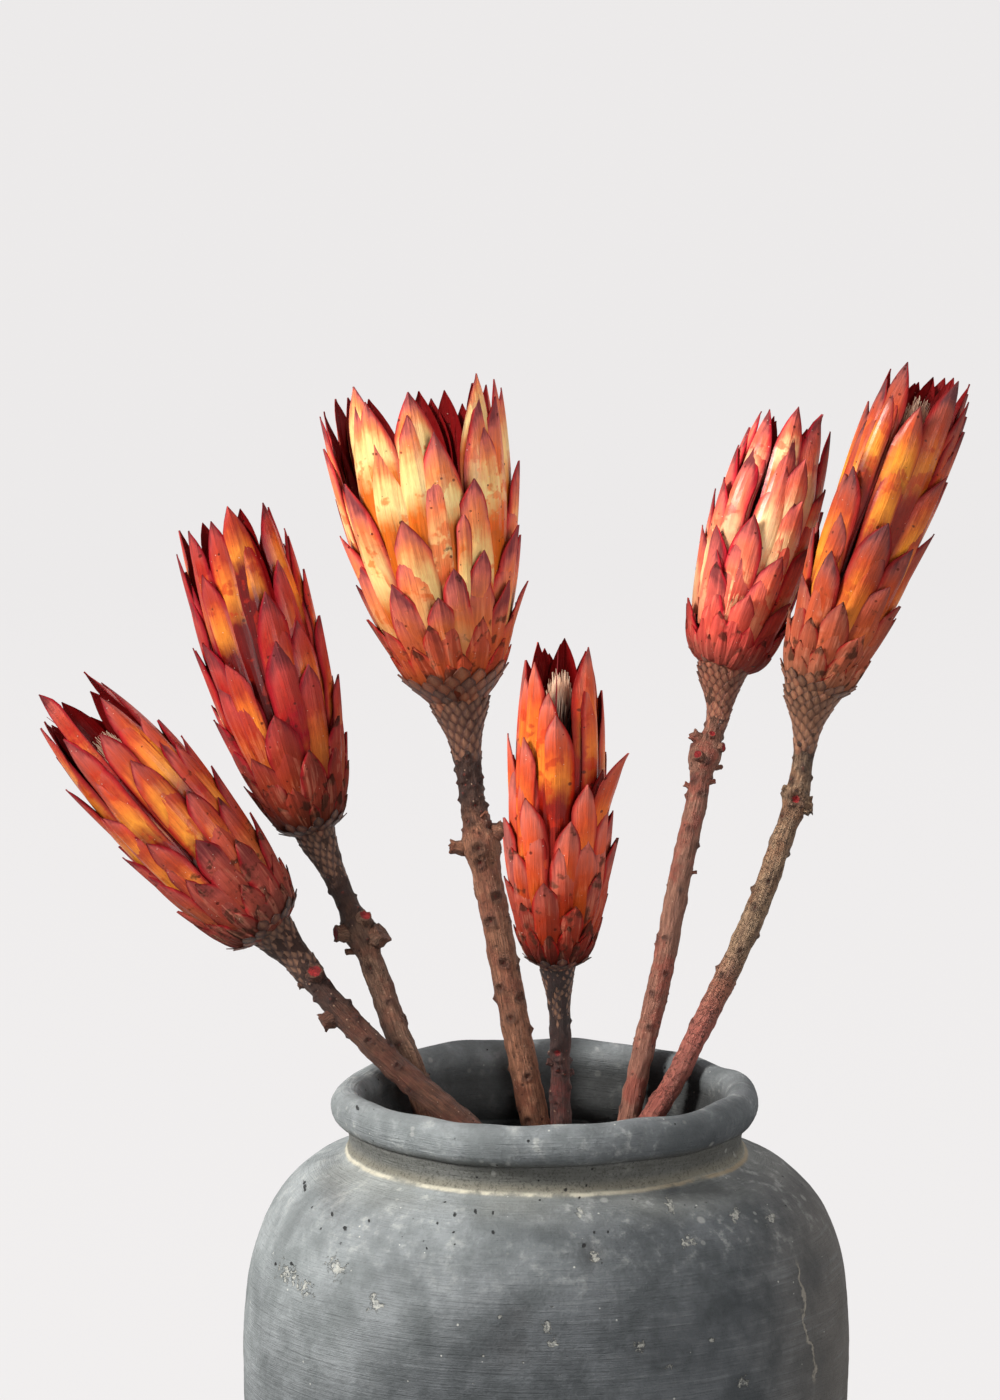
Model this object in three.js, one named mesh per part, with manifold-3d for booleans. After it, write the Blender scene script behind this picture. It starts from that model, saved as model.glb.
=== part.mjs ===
// Six dried sugarbush protea flowers on woody stems, standing in a rough clay jar.
//
// Millimetres, +Z up. The origin is the centre of the jar's underside, -Y is the front of the
// arrangement and +X is on its right. Each flower is three pieces: a woody stem whose flared top is
// netted with tiny scales, a head of overlapping bracts fused to their cone, and the brush of florets
// that the bracts close round.
import * as THREE from "three";
import { mergeVertices, toCreasedNormals } from "three/addons/utils/BufferGeometryUtils.js";
import Module from "manifold-3d";

const wasm = await Module();
wasm.setup();

// The jar: outer radii at heights above the table, from the foot to the neck under the rim.
const JAR_HEIGHT = 200;
const JAR_WALL = 9;
const JAR_FLOOR = 12;
const JAR_FOOT_RADIUS = 62;
const JAR_SIDES = 38;
const JAR_RINGS = 9;
const RIM_FACETS = 8;
const JAR_NECK_RADIUS = 60;
const JAR_SHOULDER = [
  [66, 8],
  [77, 32],
  [87, 66],
  [91, 102],
  [90.7, 131],
  [87.9, 150.5],
  [81, 165],
  [71.9, 173.7],
  [61.2, 178.5],
];
const RIM_CENTRE_RADIUS = 59;
const RIM_HALF_WIDTH = 5;
const RIM_HALF_HEIGHT = 6.3;

// Clearance between pieces that touch, and how far a joined face may be moved to drop slivers.
const SEAT_GAP = 0.3;
const JOIN_TOLERANCE = 0.1;
const CREASE_ANGLE = 0.5;

// Bracts: the golden angle sets each one round from the last.
const GOLDEN_ANGLE = Math.PI * (3 - Math.sqrt(5));
const BRACT_THICKNESS = 0.9;
const BRACT_ROOT_SINK = 1.5;
const LOWEST_ROOT = 0.6;
const LOWEST_TIP = 8;
const SHORTEST_BRACT = 10;
const LONGEST_BRACT_SHARE = 0.64;
const INNER_LEAN = 0.12;
const STRAY_WIDTH_SHARE = 0.24;
const CORE_RINGS = [0.01, 0.035, 0.075, 0.13, 0.2, 0.3, 0.44];
const CORE_SIDES = 12;

// Stems.
const STEM_SIDES = 8;
const STEM_STEP = 12;
const NECK_LENGTH = 24;
const NECK_RELIEF = 0.35;
const SCAR_SPACING = 26;
const KNOT_REACH = 1.6;

const BARK = { color: 0x6b3f30, roughness: 0.85, metalness: 0 };
const BRACT = { color: 0xc2552f, roughness: 0.45, metalness: 0 };
const FLORET = { color: 0xd9b08c, roughness: 0.9, metalness: 0 };
const CLAY = { color: 0x60666a, roughness: 0.95, metalness: 0 };

// Each flower. route: the stem's centreline from its cut foot in the jar up to the neck. base and
// top: where the head starts and the middle of its open tips. belly: the head's greatest radius, at
// bellyHeight; mouth: its radius among the tips; bluntness: how quickly it swells from the neck.
// knots: [distance down the stem from its neck, swelling, azimuth in degrees of a cut side shoot].
// strays: bracts bent away from the rest, each [azimuth in degrees, height of its tip, reach, flare].
const FLOWERS = [
  {
    route: [[71.6, -31.5, 101.8], [22, -11, 145], [-20, 6, 180], [-44.3, 17, 198.4], [-56.5, 22, 209.4], [-65.7, 26, 218.5], [-73.5, 30, 227.7]],
    base: [-83.6, 34, 238.7],
    top: [-147.3, 38, 310.7],
    stemRadius: 4.0,
    neckRadius: 6.4,
    belly: 18.6,
    bellyHeight: 44,
    mouth: 10,
    bluntness: 2.45,
    bracts: 36,
    turn: 20,
    knots: [[16, 0.8, 60], [33, 0.6, 200]],
    strays: [],
  },
  {
    route: [[34, 30, 13.6], [14, 26, 70], [-14, 24, 130], [-33.5, 26, 175], [-41.3, 28.3, 198], [-46.1, 33, 208.5], [-50.1, 37, 219.4], [-56.4, 42, 234.7], [-60.1, 45, 242.9]],
    base: [-71.2, 52, 266],
    top: [-99.7, 60, 365.6],
    stemRadius: 3.8,
    neckRadius: 5.6,
    belly: 19.8,
    bellyHeight: 48,
    mouth: 14.2,
    bluntness: 1.9,
    bracts: 36,
    turn: 75,
    knots: [[32, 1.8, 190], [35, 1.4, -10]],
    strays: [[170, 64, 40, 2.4]],
  },
  {
    route: [[20, 42, 12.9], [6, 46, 130], [-4, 47.2, 180], [-7.8, 48.1, 198.7], [-13, 51, 226.2], [-19.5, 55, 259.9], [-22, 57, 272.1], [-24.8, 60, 293.5]],
    base: [-26.4, 62, 305.1],
    top: [-42, 66, 403.2],
    stemRadius: 4.5,
    neckRadius: 6.8,
    belly: 28.6,
    bellyHeight: 70,
    mouth: 27,
    bluntness: 1.75,
    bracts: 38,
    turn: 0,
    knots: [[45, 1.6, 180], [43, 1.0, 10]],
    strays: [[-12, 36, 20, 3.2]],
  },
  {
    route: [[6, -24, 12.7], [5, -38, 120], [4, -48, 185], [3.6, -51, 201], [3.4, -54, 222.9], [3, -56, 235.3]],
    base: [2.4, -58, 245.9],
    top: [3.1, -64, 340.8],
    stemRadius: 3.1,
    neckRadius: 4.8,
    belly: 15.6,
    bellyHeight: 36,
    mouth: 8.5,
    bluntness: 2.0,
    bracts: 34,
    turn: 130,
    knots: [[22, 0.7, 120]],
    strays: [[4, 64, 37, 6.2]],
  },
  {
    route: [[-12, -12, 13.4], [10, 14, 110], [25.5, 33, 180], [30.2, 40.4, 200], [36.9, 46, 228.3], [42.3, 53, 255.8], [47, 59, 274.9], [49.4, 63, 287.7], [53.4, 66.5, 298.9]],
    base: [55, 70, 314.5],
    top: [77.6, 80, 391],
    stemRadius: 3.4,
    neckRadius: 5.6,
    belly: 17.4,
    bellyHeight: 37,
    mouth: 10.5,
    bluntness: 2.3,
    bracts: 34,
    turn: 200,
    knots: [[27, 2.2, 180], [30, 1.2, -60]],
    strays: [],
  },
  {
    route: [[-53.6, -22.8, 20], [-40, -16, 65], [-10, 0, 115], [20, 16, 165], [39.6, 25.8, 194.3], [49, 31, 212.2], [58.2, 34, 230.6], [66.2, 36, 249.2], [72.8, 38, 267.8], [76.5, 40, 278]],
    base: [81.2, 42, 311.4],
    top: [117.8, 44, 410.2],
    stemRadius: 3.4,
    neckRadius: 6.2,
    belly: 16.7,
    bellyHeight: 56,
    mouth: 12,
    bluntness: 2.1,
    bracts: 36,
    turn: 290,
    knots: [[33, 1.7, -40]],
    strays: [],
  },
];

// A repeatable number from 0 to 1 for the item and the property that it varies.
function chance(item, property) {
  const wave = Math.sin(item * 12.9898 + property * 78.233) * 43758.5453;
  return wave - Math.floor(wave);
}

const mix = (from, to, share) => from + (to - from) * share;
const radians = (degrees) => (degrees * Math.PI) / 180;

// A closed geometry as a solid that can be cut or joined.
function solidOf(geometry) {
  const bare = new THREE.BufferGeometry();
  bare.setAttribute("position", geometry.getAttribute("position"));
  bare.setIndex(geometry.getIndex());
  const merged = mergeVertices(bare, 1e-4);
  const made = new wasm.Mesh({
    numProp: 3,
    vertProperties: new Float32Array(merged.getAttribute("position").array),
    triVerts: new Uint32Array(merged.getIndex().array),
  });
  return new wasm.Manifold(made);
}

// Joins solids that overlap into one, and fills the pockets shut in between them.
function joined(solids) {
  const parts = wasm.Manifold.union(solids).simplify(JOIN_TOLERANCE).decompose();
  return parts.reduce((best, part) => (part.volume() > best.volume() ? part : best));
}

function geometryOf(solid) {
  const mesh = solid.getMesh();
  const geometry = new THREE.BufferGeometry();
  geometry.setAttribute("position", new THREE.BufferAttribute(mesh.vertProperties, 3));
  geometry.setIndex(new THREE.BufferAttribute(mesh.triVerts, 1));
  return geometry;
}

// Shades a piece smooth, with a crease wherever two faces meet at more than CREASE_ANGLE.
function named(name, geometry, look) {
  const creased = toCreasedNormals(geometry, CREASE_ANGLE);
  const mesh = new THREE.Mesh(creased, new THREE.MeshStandardMaterial(look));
  mesh.name = name;
  return mesh;
}

// A turned solid: outline points are [radius, height], from the axis at the bottom round to the axis
// at the top. Its axis is left along Y.
function turned(outline, sides) {
  const points = outline.map(([radius, height]) => new THREE.Vector2(radius, height));
  return new THREE.LatheGeometry(points, sides);
}

// Moves every vertex of a geometry through place(x, y, z), which returns a Vector3.
function reshape(geometry, place) {
  const position = geometry.getAttribute("position");
  for (let i = 0; i < position.count; i++) {
    const moved = place(position.getX(i), position.getY(i), position.getZ(i));
    position.setXYZ(i, moved.x, moved.y, moved.z);
  }
  return geometry;
}

// The jar, turned: foot, wall, shoulder, short neck, rolled rim, and the same wall inside.
function jar() {
  const wall = new THREE.SplineCurve(JAR_SHOULDER.map(([r, z]) => new THREE.Vector2(r, z)));
  const outside = wall.getPoints(JAR_RINGS).map((p) => [p.x, p.y]);
  const rimHeight = JAR_HEIGHT - RIM_HALF_HEIGHT;
  const roll = [];
  for (let facet = 0; facet <= RIM_FACETS; facet++) {
    const angle = mix(-0.46, 1.1, facet / RIM_FACETS) * Math.PI;
    roll.push([
      RIM_CENTRE_RADIUS + RIM_HALF_WIDTH * Math.cos(angle),
      rimHeight + RIM_HALF_HEIGHT * Math.sin(angle),
    ]);
  }
  const inside = outside
    .filter(([, z], ring) => z > JAR_FLOOR + 8 && z < 172 && ring % 2)
    .map(([r, z]) => [r - JAR_WALL, z])
    .reverse();
  const outline = [
    [0, 0],
    [JAR_FOOT_RADIUS, 0],
    ...outside,
    [JAR_NECK_RADIUS, 183],
    [JAR_NECK_RADIUS, 187],
    ...roll,
    [52.5, 181],
    ...inside,
    [56, JAR_FLOOR],
    [0, JAR_FLOOR],
  ];
  return turned(outline, JAR_SIDES).rotateX(Math.PI / 2);
}

const vector = (p) => new THREE.Vector3(...p);

// Where the head stands: its base, its axis, and a turn that takes +Z to that axis.
function headFrame(flower) {
  const base = vector(flower.base);
  const axis = vector(flower.top).sub(base);
  const length = axis.length();
  axis.normalize();
  const turn = new THREE.Quaternion().setFromUnitVectors(new THREE.Vector3(0, 0, 1), axis);
  return { base, axis, length, turn };
}

// The stem's centreline, and the frame across it at a distance from the foot.
function stemLine(flower) {
  const { base, axis } = headFrame(flower);
  const points = [...flower.route.map(vector), base];
  const curve = new THREE.CatmullRomCurve3(points, false, "centripetal");
  const length = curve.getLength();
  const frameAt = (distance) => {
    const share = Math.min(Math.max(distance / length, 0), 1);
    const centre = curve.getPointAt(share);
    const blend = Math.max(0, 1 - (length - distance) / NECK_LENGTH);
    const along = curve.getTangentAt(share).lerp(axis, blend).normalize();
    const across = new THREE.Vector3(0, 1, 0).cross(along).normalize();
    const out = new THREE.Vector3().crossVectors(across, along).normalize();
    return { centre, along, across, out };
  };
  return { length, frameAt };
}

// Stem radius at a distance below the neck's top.
function stemRadius(flower, below) {
  const narrow = 0.84 * flower.stemRadius;
  const flare = Math.exp(-((below / (0.42 * NECK_LENGTH)) ** 1.5));
  const thickening = THREE.MathUtils.smoothstep(below, NECK_LENGTH, 2.2 * NECK_LENGTH);
  let radius = mix(narrow, flower.stemRadius, thickening) + (flower.neckRadius - narrow) * flare;
  for (const [depth, swelling] of flower.knots)
    radius += swelling * 0.7 * Math.exp(-(((below - depth) / 4.5) ** 2));
  return radius;
}

// A cut side shoot, a leaf scar or a bud stump on the stem: a short tapered peg leaning out of it.
function peg(line, distance, azimuth, surface, size, reach, sides) {
  const { centre, along, across, out } = line.frameAt(distance);
  const away = across.clone().multiplyScalar(Math.cos(azimuth));
  away.addScaledVector(out, Math.sin(azimuth));
  const lean = away.clone().addScaledVector(along, 0.35).normalize();
  const made = new THREE.CylinderGeometry(0.72 * size, size, surface + reach, sides);
  made.translate(0, (surface + reach) / 2, 0);
  made.applyQuaternion(new THREE.Quaternion().setFromUnitVectors(new THREE.Vector3(0, 1, 0), lean));
  return made.translate(centre.x, centre.y, centre.z);
}

// The woody stem: a turned rod bent along its line, netted at the neck, with knots and leaf scars.
function stem(flower, seed) {
  const line = stemLine(flower);
  const top = line.length - SEAT_GAP;
  const heights = [];
  for (let s = 0; s < top - NECK_LENGTH - 18; s += s < 0.4 * top ? 2 * STEM_STEP : STEM_STEP) heights.push(s);
  for (let below = NECK_LENGTH + 11; below > 0; below -= 5) heights.push(top - below);
  heights.push(top);
  const outline = [[0, 0], ...heights.map((s) => [stemRadius(flower, line.length - s), s]), [0, top]];
  const rod = reshape(turned(outline, STEM_SIDES), (x, s, z) => {
    const { centre, across, out } = line.frameAt(s);
    const radius = Math.hypot(x, z);
    const ring = heights.findIndex((h) => Math.abs(h - s) < 1e-3);
    const side = Math.round((Math.atan2(z, x) / (2 * Math.PI)) * STEM_SIDES + STEM_SIDES);
    const netted = radius > 0 && s < top - 0.5 && line.length - s < NECK_LENGTH + 10;
    const relief = netted && (side + ring) % 2 ? NECK_RELIEF : 0;
    const grow = radius > 0 ? (radius + relief) / radius : 0;
    return centre.clone().addScaledVector(across, x * grow).addScaledVector(out, z * grow);
  });
  const pieces = [solidOf(rod)];
  for (const [depth, swelling, azimuth] of flower.knots) {
    const surface = stemRadius(flower, depth);
    const radius = 1.9 + 0.5 * swelling;
    const made = peg(line, line.length - depth, radians(azimuth), surface, radius, KNOT_REACH, 6);
    pieces.push(solidOf(made));
  }
  for (let i = 0; i * SCAR_SPACING < line.length * 0.55; i++) {
    const depth = NECK_LENGTH + 20 + i * SCAR_SPACING + 5 * chance(seed + i, 1);
    const azimuth = i * GOLDEN_ANGLE + seed;
    const surface = stemRadius(flower, depth);
    pieces.push(solidOf(peg(line, line.length - depth, azimuth, surface - 0.5, 1.5, 0.9, 4)));
  }
  return geometryOf(joined(pieces));
}

// The head's outer radius at a height above its base.
function headRadius(flower, height, length) {
  const { belly, bellyHeight, mouth, bluntness, neckRadius } = flower;
  if (height < bellyHeight) {
    const rise = 1 - Math.max(height, 0) / bellyHeight;
    return neckRadius + (belly - neckRadius) * (1 - rise ** bluntness) ** (1 / bluntness);
  }
  const closing = Math.min((height - bellyHeight) / (length - bellyHeight), 1);
  return belly - (belly - mouth) * closing ** 2.2;
}

// Every bract's place and size. The first of the spiral is the lowest and outermost, the last the
// innermost; the strays follow.
function bractPlans(flower, length) {
  const spiral = Array.from({ length: flower.bracts }, (_, number) => {
    const share = number / (flower.bracts - 1);
    const rise = 1 - (1 - share ** 1.4) ** 2;
    const tip = mix(LOWEST_TIP, length, rise) - 4 * chance(number, flower.turn + 1) * share;
    const longest = mix(SHORTEST_BRACT, LONGEST_BRACT_SHARE * length, share ** 1.15);
    const swell = Math.min(1, 0.62 + 1.3 * share) * mix(1, 0.82, share ** 3);
    return {
      azimuth: number * GOLDEN_ANGLE + radians(flower.turn) + 0.12 * (chance(number, 5) - 0.5),
      tip,
      reach: Math.min(longest, tip - LOWEST_ROOT),
      halfWidth: 0.325 * flower.belly * swell * mix(0.92, 1.08, chance(number, 7)),
      flare: mix(1.5, 0.4, share) + 0.6 * (chance(number, 9) - 0.5),
    };
  });
  const strays = flower.strays.map(([azimuth, tip, reach, flare]) => {
    return { azimuth: radians(azimuth), tip, reach, halfWidth: STRAY_WIDTH_SHARE * flower.belly, flare };
  });
  return { spiral, strays };
}

// How far from the head's axis a bract's middle lies at a share of the way up it.
function bractRadius(flower, plan, share, length) {
  const height = plan.tip - plan.reach * (1 - share);
  const lean = INNER_LEAN * (plan.tip - height);
  return headRadius(flower, height, length) - lean + plan.flare * share ** 3;
}

// A bract: a four-sided turned spindle, flattened and wrapped round the head's axis.
function bract(flower, plan, length) {
  const outline = [[0, 0], [0.75, 0], [1, 0.42], [0.78, 0.78], [0, 1]];
  const spindle = turned(outline, 4);
  return reshape(spindle, (side, share, depth) => {
    const radius = bractRadius(flower, plan, share, length);
    const proud = Math.abs(depth) < 1e-6 ? 0 : (Math.sign(depth) * BRACT_THICKNESS) / 2;
    const turn = plan.azimuth + (side * plan.halfWidth) / Math.max(radius, 5);
    const out = radius + proud;
    const height = plan.tip - plan.reach * (1 - share);
    return new THREE.Vector3(out * Math.cos(turn), out * Math.sin(turn), height);
  });
}

// The cone that carries the bracts: at each ring it takes in the roots of the bracts that start there.
function core(flower, plans, length) {
  const outline = [[0, 0], [flower.neckRadius - 0.3, 0]];
  for (const ring of CORE_RINGS) {
    const height = ring * length;
    const miss = (plan) => Math.abs(plan.tip - plan.reach - height);
    const nearest = plans.reduce((best, plan) => (miss(plan) < miss(best) ? plan : best));
    const radius = headRadius(flower, height, length) - INNER_LEAN * nearest.reach;
    outline.push([radius + BRACT_ROOT_SINK, height]);
  }
  outline.push([0, coreTop(length)]);
  return turned(outline, CORE_SIDES).rotateX(Math.PI / 2);
}

const coreTop = (length) => CORE_RINGS[CORE_RINGS.length - 1] * length;

function head(flower) {
  const { length } = headFrame(flower);
  const { spiral, strays } = bractPlans(flower, length);
  const blades = [...spiral, ...strays].map((plan) => solidOf(bract(flower, plan, length)));
  return geometryOf(joined([solidOf(core(flower, spiral, length)), ...blades]));
}

// The brush of florets on the cone's flat top: a smaller cone with slender tips standing out of it.
function florets(flower) {
  const { length } = headFrame(flower);
  const inner = bractPlans(flower, length).spiral.at(-1);
  const foot = coreTop(length) + SEAT_GAP;
  const room = (height) => {
    const share = Math.min(1 - (inner.tip - height) / inner.reach, 1);
    return bractRadius(flower, inner, share, length) - BRACT_THICKNESS - 1.4;
  };
  const tall = 0.4 * length;
  const outline = [[0, foot], [0.86 * room(foot), foot], [0.8 * room(foot + 0.5 * tall), foot + 0.5 * tall], [1.5, foot + tall], [0, foot + tall + 1]];
  const pieces = [solidOf(turned(outline, 9).rotateX(Math.PI / 2))];
  const needles = 12;
  for (let i = 0; i < needles; i++) {
    const around = i * GOLDEN_ANGLE;
    const start = foot + tall * mix(0.25, 0.75, i / needles);
    const end = foot + tall * mix(0.75, 1.12, i / needles);
    const needle = new THREE.ConeGeometry(1.1, end - start, 4);
    needle.rotateX(Math.PI / 2).translate(0, 0, (start + end) / 2);
    const out = mix(0.62, 0.2, i / needles) * room(start);
    pieces.push(solidOf(needle.translate(out * Math.cos(around), out * Math.sin(around), 0)));
  }
  return geometryOf(joined(pieces));
}

const arrangement = new THREE.Group();
arrangement.name = "protea_arrangement";
arrangement.add(named("jar", jar(), CLAY));
FLOWERS.forEach((flower, index) => {
  const number = index + 1;
  const { base, turn } = headFrame(flower);
  arrangement.add(named("stem_" + number, stem(flower, 10 * number), BARK));
  const bloom = new THREE.Group();
  bloom.position.copy(base);
  bloom.quaternion.copy(turn);
  bloom.add(named("head_" + number, head(flower), BRACT));
  bloom.add(named("florets_" + number, florets(flower), FLORET));
  arrangement.add(bloom);
});

export default arrangement;
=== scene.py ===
# %% [markdown]
# # Dried sugarbush flowers in a clay jar
# Six dried flower heads stand on woody stems in a rough grey jar. This lesson dresses a plain solid
# model of them: each solid is swapped for a finer piece in the same place. The solids come as a fixed
# frame, so the frame is loaded first. Every later piece has to stay inside it.

# %% Load the frame
import math

import bmesh
import bpy
from mathutils import Matrix, Vector, noise


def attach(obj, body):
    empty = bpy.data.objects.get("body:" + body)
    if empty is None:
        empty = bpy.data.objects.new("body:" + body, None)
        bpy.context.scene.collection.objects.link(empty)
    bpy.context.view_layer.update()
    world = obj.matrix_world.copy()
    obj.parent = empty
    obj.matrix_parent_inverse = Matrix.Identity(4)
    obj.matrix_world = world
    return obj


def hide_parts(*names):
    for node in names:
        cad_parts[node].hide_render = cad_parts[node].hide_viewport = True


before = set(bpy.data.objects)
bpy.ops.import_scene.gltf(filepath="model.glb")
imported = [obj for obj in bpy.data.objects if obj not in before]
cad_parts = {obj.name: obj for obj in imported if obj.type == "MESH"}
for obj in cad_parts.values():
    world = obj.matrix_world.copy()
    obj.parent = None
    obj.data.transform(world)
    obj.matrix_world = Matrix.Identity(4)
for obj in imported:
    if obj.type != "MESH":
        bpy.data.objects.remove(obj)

MM = 0.001
scene = bpy.context.scene
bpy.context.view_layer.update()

# %% [markdown]
# ## The camera
# The photograph was taken from a little above the rim with a long lens, so the jar's mouth shows as a
# flat ellipse. A long lens keeps the six heads at true relative sizes. The picture is upright, so the
# 36 mm of the sensor are its tall side. The Standard view keeps the reds of the bracts as mixed.

# %% Camera
CAMERA_PLACE = (-0.0140, -1.4691, 0.5236)
CAMERA_TILT = 81.9
CAMERA_LENS = 128.57
SENSOR_TALL = 36.0

lens = bpy.data.cameras.new("camera")
lens.lens = CAMERA_LENS
lens.sensor_fit = "VERTICAL"
lens.sensor_height = SENSOR_TALL
camera = bpy.data.objects.new("camera", lens)
camera.location = CAMERA_PLACE
camera.rotation_euler = (math.radians(CAMERA_TILT), 0.0, 0.0)
scene.collection.objects.link(camera)
scene.camera = camera
scene.view_settings.view_transform = "Standard"
print("camera at", CAMERA_PLACE)

# %% [markdown]
# ## Colours, pieces and turned shapes
# Colours are written as a painter's hex code and turned into the linear values that light needs. A
# turned shape is an outline spun round an axis: the jar, the woody cone in each flower and the paper
# sweep behind the object are all turned. Points on the axis are shared, so the shape has no hole there.

# %% Colours and turned shapes
ON_AXIS = 1e-9
UP = Vector((0, 0, 1))


def paint(code):
    """A hex colour as linear red, green, blue and alpha."""
    parts = [int(code[place:place + 2], 16) / 255 for place in (1, 3, 5)]
    linear = [p / 12.92 if p < 0.04045 else ((p + 0.055) / 1.055) ** 2.4 for p in parts]
    return (*linear, 1.0)


def add_piece(name, mesh):
    """A new object at the origin that carries the mesh."""
    piece = bpy.data.objects.new(name, mesh)
    scene.collection.objects.link(piece)
    return piece


def ring_size(radius, sides):
    """How many points a ring has. On the axis they are all one point."""
    return sides if radius > ON_AXIS else 1


def turned(name, outline, sides, shape=lambda place: place):
    """Spins an outline of (radius, height) round Z. shape may move each point."""
    mesh = bmesh.new()
    rings = []
    for radius, height in outline:
        ring = []
        for side in range(ring_size(radius, sides)):
            angle = math.tau * side / sides
            place = Vector((radius * math.cos(angle), radius * math.sin(angle), height))
            ring.append(mesh.verts.new(shape(place)))
        rings.append(ring)
    for low, high in zip(rings, rings[1:]):
        for side in range(sides):
            corners = [low[side % len(low)], low[(side + 1) % len(low)]]
            corners += [high[(side + 1) % len(high)], high[side % len(high)]]
            mesh.faces.new(list(dict.fromkeys(corners))).smooth = True
    made = bpy.data.meshes.new(name)
    mesh.to_mesh(made)
    mesh.free()
    return add_piece(name, made)


PAPER = paint("#EEECEC")
print("pale paper as light", [round(part, 3) for part in PAPER])

# %% [markdown]
# ## Writing sums as nodes
# Both the shapes and the finishes below follow rules, such as how wide a bract is at each height. In
# Blender such a rule is a chain of math nodes. Term lets the script write the rule as an ordinary sum:
# each plus or times adds one node. It works in geometry trees and in materials alike.

# %% Terms
def feed(node, inputs):
    """Sets a node's inputs, by place or by name, from plain values or from terms."""
    for key, value in inputs.items() if isinstance(inputs, dict) else enumerate(inputs):
        if isinstance(value, Term):
            value.tree.links.new(value.socket, node.inputs[key])
        else:
            node.inputs[key].default_value = value


def add_node(tree, kind, inputs=(), output=0, **settings):
    """A new node with its settings and inputs, as a term on one of its outputs."""
    node = tree.nodes.new(kind)
    for title, value in settings.items():
        setattr(node, title, value)
    feed(node, inputs)
    return Term(node.outputs[output])


class Term:
    """A value that changes over a surface, as the output of a node."""

    def __init__(self, socket):
        self.socket = socket
        self.tree = socket.id_data

    def math(self, operation, *others, clamp=False):
        """The result of one math node on this term."""
        return add_node(self.tree, "ShaderNodeMath", (self, *others), operation=operation, use_clamp=clamp)

    def __add__(self, other):
        return self.math("ADD", other)

    def __sub__(self, other):
        return self.math("SUBTRACT", other)

    def __mul__(self, other):
        return self.math("MULTIPLY", other)

    def __truediv__(self, other):
        return self.math("DIVIDE", other)

    def __pow__(self, other):
        return self.math("POWER", other)

    def absolute(self):
        """The term without its sign."""
        return self.math("ABSOLUTE")

    def flipped(self):
        """One minus the term."""
        return self * -1.0 + 1.0

    def at_least(self, other):
        """The larger of the two."""
        return self.math("MAXIMUM", other)

    def ramp(self, start, end):
        """Runs smoothly from 0 at start to 1 at end."""
        return add_node(self.tree, "ShaderNodeMapRange", (self, start, end), interpolation_type="SMOOTHSTEP")


print("a term knows", [name for name in vars(Term) if not name.startswith("_")])

# %% Vectors, noise and runs of colour
def all_outputs(term):
    """Every output of the node that the term comes from."""
    return [Term(socket) for socket in term.socket.node.outputs]


def axes(vector):
    """A vector as its three numbers."""
    return all_outputs(add_node(vector.tree, "ShaderNodeSeparateXYZ", (vector,)))


def joined(first, *others):
    """Three numbers as one vector. The first is a term."""
    return add_node(first.tree, "ShaderNodeCombineXYZ", (first, *others))


def clamped(value):
    """A number or a term, held between 0 and 1."""
    if isinstance(value, Term):
        return value.math("ADD", 0.0, clamp=True)
    return min(max(value, 0.0), 1.0)


def cloud(vector, scale, detail=2.0, roughness=0.5):
    """Soft noise from about 0.25 to 0.75."""
    inputs = {"Vector": vector, "Scale": scale, "Detail": detail, "Roughness": roughness}
    return add_node(vector.tree, "ShaderNodeTexNoise", inputs)


def stops(share, inner_places, colours):
    """A colour that runs through the given colours as the share grows from 0 to 1."""
    run = add_node(share.tree, "ShaderNodeValToRGB", (share,))
    marks = run.socket.node.color_ramp.elements
    for place in inner_places:
        marks.new(place)
    for mark, colour in zip(marks, colours):
        mark.color = paint(colour)
    return run


print("1.4 held between 0 and 1 is", clamped(1.4))

# %% [markdown]
# ## The paper sweep and the light
# A studio shot stands the object on pale paper that curves up behind it. Here the paper curves up all
# round, so every view has the same plain ground. It shines by itself, which keeps its tone even, and it
# sends no light back on to the object. The main light is a soft panel high on the left.
# A weak panel on the right and one behind soften the shaded sides. The sky is bright above and dim
# below, so that the undersides of the flowers stay deep.

# %% Paper sweep
SWEEP_FLAT = 3.0
SWEEP_BEND = 1.2
SWEEP_TOP = 4.2
SWEEP_SIDES = 96


def new_finish(name):
    """A material with its node tree and its shader."""
    material = bpy.data.materials.new(name)
    material.use_nodes = True
    return material, material.node_tree, material.node_tree.nodes["Principled BSDF"]


sweep_outline = [(0.0, 0.0), (0.4, 0.0), (1.5, 0.0)]
for degrees in range(0, 91, 9):
    angle = math.radians(degrees)
    sweep_outline.append((SWEEP_FLAT + SWEEP_BEND * math.sin(angle), SWEEP_BEND * (1 - math.cos(angle))))
sweep = turned("sweep", sweep_outline + [(SWEEP_FLAT + SWEEP_BEND, SWEEP_TOP)], SWEEP_SIDES)
sweep.visible_diffuse = False
paper, tree, shader = new_finish("paper")
feed(shader, {"Base Color": paint("#403F3F"), "Roughness": 1.0, "Specular IOR Level": 0.0,
              "Emission Color": PAPER, "Emission Strength": 0.953})
sweep.data.materials.append(paper)
print("sweep", 2 * (SWEEP_FLAT + SWEEP_BEND), "m across")

# %% Sky and light panels
SKY_BELOW = 0.06
SKY_ABOVE = 0.34
LIGHT_TARGET = Vector((0.0, 0.0, 0.26))
# A panel is (place, width, watts, tint).
PANELS = {
    "key_panel": ((-2.05, -0.85, 1.65), 0.7, 112.0, "#FFFCF6"),
    "fill_panel": ((1.3, -2.1, 0.75), 1.6, 34.0, "#FFFDFA"),
    "rear_panel": ((0.6, 1.9, 1.7), 1.4, 14.0, "#FFFFFF"),
}

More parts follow.
